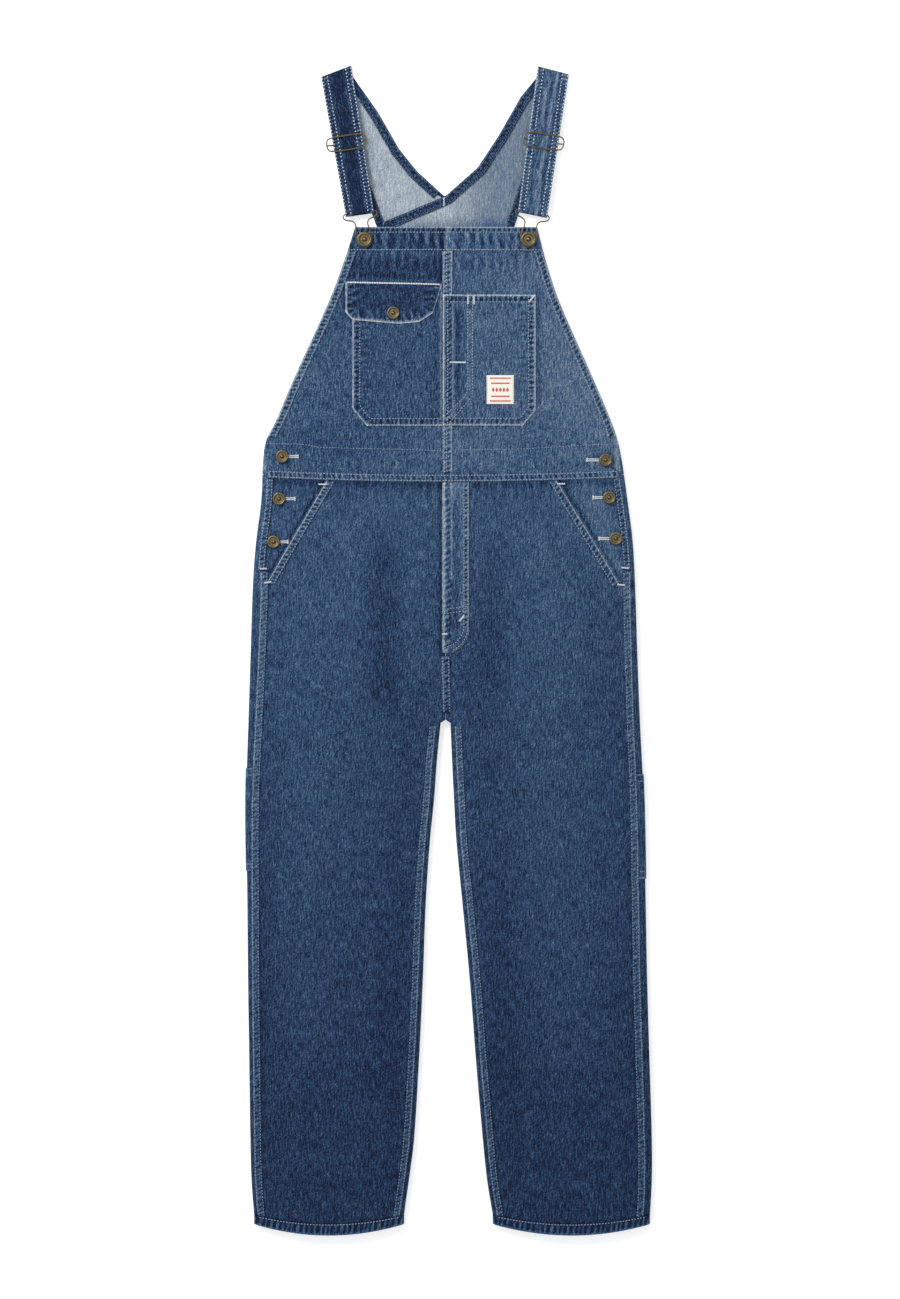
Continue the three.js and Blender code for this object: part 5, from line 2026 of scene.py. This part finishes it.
@dataclass(frozen=True)
class FlapPocket(SubAssembly):
    """The chest pocket with a buttoned flap, on the wearer's right."""

    bag: Bag = Bag(474.0, 290.5, 313.0, -9.4, -125.5, -106.5)
    cut: Point = (116, 183.5)
    area: float = 21_100
    stitch_top: float = 430.0
    flap_edge: Line = (
        (-134.6, 439), (-125.5, 429), (-95, 426), (-65, 423.5), (-38.5, 426), (-21, 437.5), (-10, 472),
    )
    hinge: Point = (478.5, 476.0)
    flap_size: Point = (124, 50)
    flap_cut: Point = (125, 55)
    flap_area: float = 5_900

    def build(self) -> None:
        """Builds the bag and the flap."""
        self._bag()
        self._flap()

    def _bag(self) -> None:
        """The pocket's bag."""
        bag, rim = self.bag, self.bag.rim
        locate = between(bag.edge_x, lambda y: bag.inner_x, (bag.top, bag.foot))
        marks = (
            Roping(rim, 2.2, 8.6, 6.4, 0.27, 0.45, soft=0.9, bias=-0.15, seed=3.1),
            Roping(rim, 10.5, 22, 8.4, 0.08, 0.45, soft=4, seed=3.1),
            Streak(((-15, 470), (-15, 295)), 5, -0.05, -0.3),
            Streak(((-70, 415), (-70, 330)), 34, 0.02),
        )
        patch = Patch(locate, self.cut, self.body, step=2.2, marks=marks,
                      thickness=CLOTH.pocket, wash=lambda x, y: 0.235 + 0.02 * (x + 60) / 60,
                      wear_and_shadow=EdgeWearAndShadow(left=0.6, foot=0.6, right=0.4, width=2.2))
        self.cloth("flap_pocket", self.finishes.light, patch, self.cut, ["right_bib"], self.area)
        inner = shifted(rim, 9.6)
        self.thread.row(patch.over([(bag.outer_x + 1.3, self.stitch_top), *shifted(rim, 1.3)[1:]]))
        self.thread.row(patch.over([(inner[0][0], self.stitch_top), *inner[1:]]))
        self.dull.row(patch.over(((bag.inner_x - 1.4, 450), (bag.inner_x - 1.4, bag.foot + 2))))

    def _flap(self) -> None:
        """The flap, wavy at its worn edge."""
        edge = np.array(self.flap_edge)
        share = np.linspace(0, 1, len(edge))

        def locate(u: Array, v: Array) -> tuple[Array, Array]:
            """Plan position on the flap.

            Args:
                u: share across.
                v: share down.

            Returns:
                The position across and up.
            """
            hinge = mix(*self.hinge, u)
            foot = np.minimum(np.interp(u, share, edge[:, 1]), hinge - 3)
            return np.interp(u, share, edge[:, 0]), mix(hinge, foot, v)

        rim = ((-133.6, 478.0), *self.flap_edge)
        marks = (
            Roping(rim, 3.0, 17, 12, 0.13, 0.9, slant=0.35, soft=3.0, bias=0.3, seed=5.3),
            Roping(rim, 2.4, 8.0, 6.4, 0.2, 0.4, soft=1.2, seed=2.3),
        )
        flap = Patch(locate, self.flap_size, self.body, step=1.8, marks=marks, lift=ON_POCKET,
                     wash=lambda x, y: 0.13, wear_and_shadow=EdgeWearAndShadow(left=0.7, foot=0.8, right=0.7, width=3.0))
        self.cloth("pocket_flap", self.finishes.light, flap, self.flap_cut, ["flap_pocket"], self.flap_area)
        for dy in (0.0, 0.7):
            line = flap.over(((-132.5, 477.2 + dy), (-60, 475.6 + dy), (-12, 474.4 + dy)))
            self.bright.row(line, pitch=3.2, width=1.3, fill=0.95)
        self.dull.row(flap.over(shifted(rim, 1.9)[:-1]), width=0.8)


@dataclass(frozen=True)
class ChestPocket(SubAssembly):
    """The plain chest pocket with its pencil slot, on the wearer's left, and the generic label."""

    bag: Bag = Bag(461.5, 291.0, 311.0, -8.0, 112.8, 96.0)
    size: Point = (120.8, 170.5)
    cut: Point = (121, 170.5)
    area: float = 20_300
    label_cut: Point = (35.4, 37.5)
    label_x: float = 66.7
    label_bars: tuple[tuple[float, float, float], ...] = (
        (353.2, 13.5, 0.45), (351.8, 13.5, 0.45), (323.6, 13.5, 0.45), (322.2, 13.5, 0.45), (346, 12, 0.9),
        (329, 12, 0.9),
    )
    diamonds: tuple[float, ...] = (57.5, 62.1, 66.7, 71.3, 75.9)
    slot: Line = ((24.4, 460), (24.4, 336), (21, 329), (13, 321), (-7.0, 302.3))
    slot_edge: Line = ((30.7, 460), (30.7, 334), (27, 325), (19, 315.5), (0.5, 294.5))
    tacks: tuple[Line, ...] = (
        ((1.5, 373.2), (21.8, 373.2)), ((24.7, 459.4), (24.7, 449.4)), ((32.5, 459.4), (32.5, 449.4)),
        ((104.5, 452.5), (111, 460)),
    )

    @staticmethod
    def lift(x: Array, y: Array) -> Array:
        """The pocket climbs over the bib's centre seam."""
        return CLOTH.lift + (CLOTH.gap + CLOTH.band) * (1 - ease(5.5, 12.5, x))

    def build(self) -> None:
        """Builds the pocket and the label."""
        self._stitches(self._bag())
        self._label()

    def _bag(self) -> Patch:
        """The pocket's bag.

        Returns:
            Its patch.
        """
        bag, rim = self.bag, self.bag.rim
        locate = between(lambda y: bag.inner_x, bag.edge_x, (bag.top, bag.foot))
        top = ((bag.inner_x, bag.top), (bag.outer_x, bag.top))
        middle = ((-1.5, 455), (-1.5, 295))
        marks = (
            Roping(rim, -8.6, -2.2, 6.4, 0.27, 0.45, soft=0.9, bias=-0.15, seed=4.1),
            Roping(rim, -22, -10.5, 8.4, 0.075, 0.4, soft=4, seed=4.1),
            Roping(top, -8.4, -2.2, 6.4, 0.3, 0.35, soft=0.8, bias=-0.4, seed=1.9),
            Roping(top, -20, -10, 9.5, 0.06, 0.3, soft=3, seed=2.9),
            Streak(((27.5, 452), (27.5, 336), (20, 325), (-3, 299)), 2.0, 0.07, 0.15),
            Streak(((5.4, 455), (5.4, 300)), 1.1, 0.36, 0.15),
            Streak(((12, 440), (12, 330)), 3.0, -0.13, -0.4),
            Roping(middle, -2.6, 4.6, 6.4, 0.3, 0.25, slant=0.8, soft=0.8, bias=-0.3, seed=5.9),
            Streak(middle, 2.2, 0.03),
            Streak(((60, 430), (60, 330)), 30, 0.015),
        )
        patch = Patch(locate, self.size, self.body, step=2.0, marks=marks,
                      thickness=CLOTH.pocket, lift=self.lift,
                      wash=lambda x, y: 0.33 - 0.045 * (1 - ease(18, 26, x)),
                      wear_and_shadow=EdgeWearAndShadow(left=0.6, foot=0.6, right=0.6, top=0.6, width=2.2))
        self.cloth("chest_pocket", self.finishes.light, patch, self.cut, ["left_bib"], self.area)
        return patch

    def _stitches(self, patch: Patch) -> None:
        """All the rows and bartacks on the pocket.

        Args:
            patch: the bag's patch.
        """
        bag = self.bag
        sew = self.thread.row
        rim = ((bag.outer_x, bag.top - 1), *bag.rim[1:])
        for inset in (1.3, 9.4):
            sew(patch.over(shifted(rim, -inset)))
        for y in (bag.top - 1.3, bag.top - 9.6):
            sew(patch.over(((bag.inner_x + 1, y), (bag.outer_x - 1.5, y))))
        for x in (-6.7, -1.6):
            sew(patch.over(((x, bag.top - 2), (x, bag.foot + 1.5))))
        self.dull.row(patch.over(((5.0, bag.top - 9), (5.0, bag.foot + 10))))
        sew(patch.over(self.slot))
        sew(patch.over(self.slot_edge))
        for tack in self.tacks:
            self.bright.bartack(patch.over(tack, 1), width=2.4)

    def _label(self) -> None:
        """A cream patch with plain bars and diamonds."""
        locate = between(lambda y: 49, lambda y: 84.4, (356.5, 319))
        patch = Patch(locate, self.label_cut, self.body, step=4, thickness=0.8, lift=ON_POCKET)
        self.cloth("label", self.finishes.label, patch, self.label_cut, ["chest_pocket"], name="label_patch")
        shapes = []
        for y, half, tall in self.label_bars:
            left, right = self.label_x - half, self.label_x + half
            shapes.append(((left, y - tall), (right, y - tall), (right, y + tall), (left, y + tall)))
        for x in self.diamonds:
            shapes.append(((x - 2.0, 337.5), (x, 334.2), (x + 2.0, 337.5), (x, 340.8)))
        x, y = np.array(shapes, float).reshape(-1, 2).T
        faces = np.arange(len(x)).reshape(-1, 4)
        printed = points(x, y, patch.surface(x, y) + 0.12)
        self.finishes.print.give(add_mesh("label_print", self.frame.metres(printed), faces, False))
        for x in (50.2, 83.2):
            self.thread.row(patch.over(((x, 355.4), (x, 320))), pitch=2.2, width=0.6)


@dataclass(frozen=True)
class BackCut:
    """One crossing back piece: its long borders, how far its facings run, its wash and its area."""

    outer: Line
    inner: Line
    neck_end: float
    arm_end: float
    shade: float
    area: float


BACK_CUTS = {
    Side.RIGHT: BackCut(
        ((-164, 732), (-131, 650), (-92, 545.3)),
        ((-125, 746), (-92.5, 700), (-65, 652), (-41.5, 623), (-6.5, 591), (37, 572), (80, 545.3)),
        0.64, 0.96, 0.80, 17_100,
    ),
    Side.LEFT: BackCut(
        ((154, 735), (119, 650), (78, 530)),
        ((114, 745), (93.5, 720), (65, 670), (37.5, 628), (-4, 591), (-84.5, 557), (-88, 530)),
        0.822, 0.9, 0.56, 19_900,
    ),
}


@dataclass(frozen=True)
class Back(SubAssembly):
    """What shows of the back through the neck: two crossing pieces with facings, and the lower back."""

    cut: Point = (180, 215)
    neck_width: float = 11.0
    arm_width: float = 10.0
    lower_top: float = 545.0
    lower_cut: Point = (475, 317)
    lower_area: float = 115_000
    cross_tack: tuple[tuple[float, float, float], ...] = ((-6.5, 588, 4.7), (-6.5, 578, 4.7))

    @staticmethod
    def on_line(line: Line, t: Array) -> tuple[Array, Array]:
        """The point a share t of the way through a line's corners."""
        corners, at, index = np.array(line, float), t * (len(line) - 1), np.arange(len(line))
        return np.interp(at, index, corners[:, 0]), np.interp(at, index, corners[:, 1])

    @staticmethod
    def crossing(side: Side, x: Array, y: Array) -> Array:
        """Height of a piece's lower face: the left one climbs on to the right one.

        Args:
            side: the piece's side.
            x: plan position across.
            y: plan position up.

        Returns:
            The height of each point.
        """
        if side is Side.RIGHT:
            return 0 * x
        edge = np.array(BACK_CUTS[Side.RIGHT].inner)[::-1]
        reach = np.where(y < edge[0, 1], 1000, np.interp(y, edge[:, 1], edge[:, 0]))
        return (CLOTH.denim + CLOTH.gap) * (1 - ease(0, 90, x - reach - 15))

    def build(self) -> None:
        """Builds the back's pieces."""
        for side in Side:
            self._piece(side)
            self._facings(side)
        self._lower()

    def _piece(self, side: Side) -> None:
        """One piece, seen from its pale inner face.

        Args:
            side: the wearer's side.
        """
        cut = BACK_CUTS[side]
        v, u = np.meshgrid(np.linspace(0, 1, 90), np.linspace(0, 1, 64), indexing="ij")
        ox, oy = self.on_line(cut.outer, v)
        ix, iy = self.on_line(cut.inner, v)
        x, y = mix(ox, ix, u), mix(oy, iy, u)
        z = self.crossing(side, x, y)
        wash = np.full(x.shape, cut.shade)
        if side is Side.LEFT:
            wash += 0.24 * (1 - ease(-10, 60, x))
        wash -= 0.16 * (1 - ease(0, 22, y - 548))
        border = border_distances(points(x, y, z))
        wash -= 0.08 * np.exp(-((border["right"] - 12) / 3.0) ** 2)
        faced = (1 - ease(11, 12.5, border["right"])) + (1 - ease(8.5, 10, border["left"]))
        wash = mix(wash, 0.13 + 0.10 * bars(y + x, 7, 3.3 + side.sign), np.clip(faced, 0, 1))
        made = Shell(points(x, y, z + CLOTH.denim), points(x, y, z), wash)
        self.cloth(side.node("back_strap"), self.finishes.inside, made, self.cut, ["floor"], cut.area)

    def _facings(self, side: Side) -> None:
        """The dark bands along the neck and the armhole.

        Args:
            side: the wearer's side.
        """
        cut, sign = BACK_CUTS[side], side.sign
        self._facing(side, "neck_facing", cut.inner, (0.09, cut.neck_end), -sign * self.neck_width,
                     (0.12, 0.66, 0.88))
        self._facing(side, "armhole_facing", cut.outer, (0.1, cut.arm_end), sign * self.arm_width,
                     (0.12, 0.86))
        if side is Side.LEFT:
            self.bright.bartack(self.cross_tack, width=1.8)

    def _facing(self, side: Side, part: str, line: Line, ends: Point, reach: float,
                rows: Sequence[float]) -> None:
        """One band along a border.

        Args:
            side: the back piece's side.
            part: the band's part name.
            line: the border that it follows.
            ends: shares of the border where it starts and ends.
            reach: its width, with the side of the border that it lies on as its sign.
            rows: its rows of stitches, as shares of its width.
        """
        width, turn = abs(reach), math.copysign(1, reach)
        v = np.linspace(*ends, 150)[:, None]
        (x, y), (nx, ny), (lx, ly) = (self.on_line(line, np.clip(v + d, 0, 1)) for d in (0, 0.02, -0.02))
        length = np.hypot(nx - lx, ny - ly)
        u = stops(width, 1.3)[None]
        across = (u * width + 0.8) * turn
        x, y = x + across * (ny - ly) / length, y - across * (nx - lx) / length
        run = np.cumsum(np.concatenate([[0], np.hypot(np.diff(x[:, 0]), np.diff(y[:, 0]))]))[:, None]
        rope = bars(run + 0.8 * u * width, 7.6, 2.2 + side.sign)
        rope = rope * ease(0.1, 0.25, u) * (1 - ease(0.6, 0.72, u))
        z = self.crossing(side, x, y) + CLOTH.denim + CLOTH.facing_lift
        outer = points(x, y, z + CLOTH.band + 0.25 * rope)
        wash = 0.11 + 0.15 * rope + edge_wash(outer, EdgeWearAndShadow(left=0.22, right=0.05, width=1.3))
        self.cloth(side.node(part), self.finishes.facing, Shell(outer, points(x, y, z), wash),
                   (width, float(run[-1, 0])), [side.node("back_strap")])
        for share in rows:
            self.dull.row(outer[:, int(np.argmin(np.abs(u[0] - share)))], width=0.75)

    def _lower(self) -> None:
        """The back below the crossing, which the bib hides."""
        rows = np.linspace(self.lower_top, MARK.waist_y + CLOTH.gap, 54)[:, None]
        t = np.linspace(0, 1, 60)[None]
        x = mix(Skin.outer_x(Side.RIGHT, rows) + 1, Skin.outer_x(Side.LEFT, rows) - 1, t)
        y = Skin.sagged(x, rows)
        made = Shell(points(x, y, CLOTH.denim), points(x, y, 0), np.full(x.shape, 0.6))
        self.cloth("back_bib", self.finishes.light, made, self.lower_cut, ["floor"], self.lower_area)


@dataclass(frozen=True)
class Strap(SubAssembly):
    """One strap: over the shoulder, down the front, round the buckle's bar and back up."""

    side: Side
    fold_inner: Point
    fold_outer: Point
    foot_inner: Point
    foot_outer: Point
    width: float = 41.0
    run: float = 190.0
    cut_length: float = 305.0
    bar_back: float = 3.4
    bar_radius: float = 2.4
    slider_run: float = 100.0
    floor_z: float = 0.9
    fold_z: float = 3.9
    slider_z: float = 8.4
    buckle_z: float = 11.6
    rows: tuple[float, ...] = (0.045, 0.21, 0.79, 0.955)

    def _section(self) -> Array:
        """The strap's middle line as (run, z).

        Returns:
            Its points in order.
        """
        def turned(run: float, z: float, radius: float, start: float, end: float) -> list[Point]:
            """An arc of the line."""
            angles = np.radians(np.linspace(start, end, 9))
            return [(run + radius * math.cos(a), z + radius * math.sin(a)) for a in angles]

        radius = (self.fold_z - self.floor_z) / 2
        rear = 2 * self.bar_radius
        near, far = self.slider_run - 12, self.slider_run + 12
        line = [(13, self.floor_z), *turned(radius + CLOTH.strap / 2, self.floor_z + radius, radius, 270, 90)]
        line += [(22, 4.9), (60, 7.0), (near, self.slider_z), (far, self.slider_z), (150, 10.4)]
        line += turned(self.run - self.bar_back, self.buckle_z - self.bar_radius, self.bar_radius, 90, -90)
        line += [(150, 10.4 - rear), (far, self.slider_z - 4.4), (self.slider_run - 8, self.slider_z - 4.4)]
        return np.array(line)

    def place(self, run: Array, across: Array) -> tuple[Array, Array]:
        """Plan position at a run down the strap and a share across it from its outer edge.

        Args:
            run: millimetres down the strap.
            across: share of its width.

        Returns:
            The position across and up.
        """
        t = run / self.run
        outer = [mix(self.fold_outer[k], self.foot_outer[k], t) for k in (0, 1)]
        inner = [mix(self.fold_inner[k], self.foot_inner[k], t) for k in (0, 1)]
        return mix(outer[0], inner[0], across), mix(outer[1], inner[1], across)

    def build(self) -> None:
        """Builds the strap's ribbon and its stitching."""
        line = self._section()
        fine = []
        for a, b in zip(line, line[1:]):
            count = max(1, round(float(np.hypot(*(b - a))) / 2.4))
            fine += [a + (b - a) * k / count for k in range(count)]
        fine = np.array([*fine, line[-1]])
        section = points(fine[None, :, 0], 0, fine[None, :, 1])
        across = stops(self.width, 1.7)[None]
        run = np.concatenate([[0], np.cumsum(np.hypot(*np.diff(fine, axis=0).T))])[:, None]
        wash, bump = self._look(across * self.width, run)
        front = ((fine[:, 1] > 3.5) & (np.arange(len(fine)) > 8))[:, None]
        faces = []
        for distance, rise in ((CLOTH.strap / 2, np.where(front, bump, 0.0)), (-CLOTH.strap / 2, 0.0)):
            face = offset_section(section, distance)[0]
            x, y = self.place(face[:, :1], across)
            faces.append(points(x, y, face[:, 2:] + rise))
        place = np.stack(np.broadcast_arrays(across * self.width, run), axis=-1)
        self.cloth(self.side.node("strap"), self.finishes.light, Shell(*faces, wash, place),
                   (self.width, self.cut_length), [self.side.node("back_strap")])
        first = int(np.argmax(fine[:, 1] > 3.6))
        last = int(np.argmax(fine[:, 0]))
        for share in self.rows:
            column = int(np.argmin(np.abs(across[0] - share)))
            self.bright.row(faces[0][first:last - 2, column], pitch=4.6, width=1.4, fill=0.38)

    def _look(self, across: Array, run: Array) -> tuple[Array, Array]:
        """Wash and relief over the ribbon.

        Args:
            across: millimetres from the outer edge.
            run: millimetres along the strap.

        Returns:
            The wash and the height at each point.
        """
        far = self.width - across
        edge = np.minimum(across, far)
        band = 1 - ease(11.5, 14.0, edge)
        seed = 3.0 + self.side.sign
        rope = bars(run + 0.3 * across, 4.8, seed) * ease(1.5, 2.6, edge) * (1 - ease(8, 12, edge))
        if self.side is Side.RIGHT:
            wash = 0.02 + 0.13 * band + 0.27 * rope
        else:
            streak = 0.11 * np.sin(across / 2.1 + 1.4 * np.sin(run / 31))
            streak = streak + 0.09 * np.sin(across / 1.3 + 2 + 1.6 * np.sin(run / 13))
            wash = 0.38 + streak * (1 - 0.6 * band) + 0.2 * rope - 0.09 * band
        wash = wash + 0.40 * np.exp(-((far / 1.3) ** 2)) + 0.15 * np.exp(-((across / 1.2) ** 2))
        return wash, 0.22 * rope


STRAPS = {
    Side.RIGHT: Strap(Side.RIGHT, (-127.4, 761), (-166.4, 746), (-97.5, 567.5), (-134, 562.3)),
    Side.LEFT: Strap(Side.LEFT, (115.7, 760), (156, 749.5), (89.7, 568.8), (127.4, 561)),
}


@dataclass(frozen=True)
class ButtonSizes:
    """A metal button's radius and the height of its shank."""

    radius: float
    shank: float
    face: tuple[tuple[float, float, float], ...] = (
        (0.0, 1.95, 0.0), (0.12, 1.9, 0.0), (0.19, 1.55, 0.9), (0.24, 1.1, 1.0), (0.40, 1.0, 0.35),
        (0.58, 1.05, 0.3), (0.66, 1.15, 0.8), (0.72, 1.6, 0.3), (0.8, 1.85, 0.1), (0.9, 1.7, 0.4),
        (0.96, 1.5, 0.7), (1.0, 1.15, 0.9), (1.0, 0.7, 1.0), (0.95, 0.2, 1.0), (0.34, 0.1, 1.0),
    )

    @property
    def profile(self) -> list[tuple[float, float, float]]:
        """Radius, height and hollowness from the centre of the face to the foot.

        Returns:
            One row of the three for each corner of the profile.
        """
        r, h = self.radius, self.radius * 0.2
        turned = [(a * r, self.shank + b * h, c) for a, b, c in self.face]
        return turned + [(0.34 * r, 0.0, 1.0), (0.0, 0.0, 1.0)]


@dataclass(frozen=True)
class Fittings:
    """One side's buttons, and where the buttonholes end."""

    buttons: Line
    hole_ends: tuple[float, ...]
    bib_button: Point


FITTINGS = {
    Side.RIGHT: Fittings(
        ((-217, 251), (-221, 196), (-228, 140)), (-196.3, -200.2, -209.3), (-110, 533.4),
    ),
    Side.LEFT: Fittings(
        ((203.6, 246.5), (208.3, 197.6), (216.8, 144.2)), (179.4, 187.2, 195.0), (103.2, 533.4),
    ),
}


@dataclass(frozen=True)
class Hardware(SubAssembly):
    """Buttons, sliders and buckles."""

    button: ButtonSizes = ButtonSizes(8.4, 1.2)
    bib_radius: float = 9.8
    wire_rise: float = 1.3
    flap_button: Point = (-72.5, 437.5)
    turns: int = 40

    def build(self) -> None:
        """Builds the buttons and finishes the wires."""
        for side, fittings in FITTINGS.items():
            for number, (place, end) in enumerate(zip(fittings.buttons, fittings.hole_ends), 1):
                self._button(side.node(f"side_button_{number}"), place, CLOTH.lift, self.button)
                self._buttonhole(side, place, end)
            place = fittings.bib_button
            lift = CLOTH.lift + CLOTH.band + CLOTH.gap
            wire_top = STRAPS[side].buckle_z - STRAPS[side].bar_radius + self.wire_rise
            shank = wire_top - (float(Skin.top(*place)) + lift)
            self._button(side.node("bib_button"), place, lift, ButtonSizes(self.bib_radius, shank))
            for part in ("slider", "slider_bar", "buckle"):
                self.finishes.wire.give(bpy.data.objects[side.node(part)])
        self._button("flap_button", self.flap_button, ON_POCKET + CLOTH.gap + CLOTH.band, self.button)

    def _button(self, node: str, place: Point, lift: float, sizes: ButtonSizes) -> None:
        """Turns a button's profile about its own axis.

        Args:
            node: the CAD node that it stands for.
            place: plan position of its axis.
            lift: height of its foot above the skin.
            sizes: the button's sizes.
        """
        count = self.turns
        profile = np.array(sizes.profile)
        angles = np.arange(count) * 2 * math.pi / count
        ring = profile[1:-1]
        body = points(ring[:, :1] * np.cos(angles), ring[:, :1] * np.sin(angles), ring[:, 1:2]).reshape(-1, 3)
        seat = [*place, float(Skin.top(*place)) + lift]
        vertices = np.vstack([body, [0, 0, profile[0, 1]], [0, 0, profile[-1, 1]]]) + seat
        number = np.arange(len(ring) * count).reshape(-1, count)
        rolled = np.roll(number, -1, axis=1)
        faces = np.stack([number[:-1], number[1:], rolled[1:], rolled[:-1]], axis=-1).reshape(-1, 4).tolist()
        top, foot = len(body), len(body) + 1
        faces += [[top, a, b] for a, b in zip(number[0], rolled[0])]
        faces += [[foot, b, a] for a, b in zip(number[-1], rolled[-1])]
        piece = add_mesh(f"{node}_metal", self.frame.metres(vertices), faces)
        add_value(piece, "hollow", np.concatenate([np.repeat(ring[:, 2], count), profile[[0, -1], 2]]))
        add_place(piece, vertices[:, :2])
        self.finishes.brass.give(piece)
        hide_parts(node)

    def _buttonhole(self, side: Side, button: Point, end: float) -> None:
        """A keyhole buttonhole that runs inwards from under the button.

        Args:
            side: the wearer's side.
            button: plan position of the button.
            end: where the hole ends across the garment.
        """
        x, y = button
        start = x - side.sign * 4
        bars_at = [((start, y + offset), (end, y + offset)) for offset in (-1.1, 1.1)]
        for ends in (*bars_at, ((end, y - 2.2), (end, y + 2.2))):
            self.bright.bartack(drape(ends, self.skin, 1), width=1.8, thread=0.8)


def main() -> None:
    """Builds the dressed garment and its studio."""
    logging.basicConfig(level=logging.INFO, format="%(message)s")
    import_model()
    SubAssembly.open()
    for side in Side:
        for part in (Leg(side), LegSeams(side), HIPS[side]):
            part.build()
    for part in (Bib(), Fly(), FlapPocket(), ChestPocket(), Back(), *STRAPS.values(), Hardware()):
        part.build()
    SubAssembly.close()
    Studio().build(SubAssembly.frame)


if __name__ == "__main__":
    main()
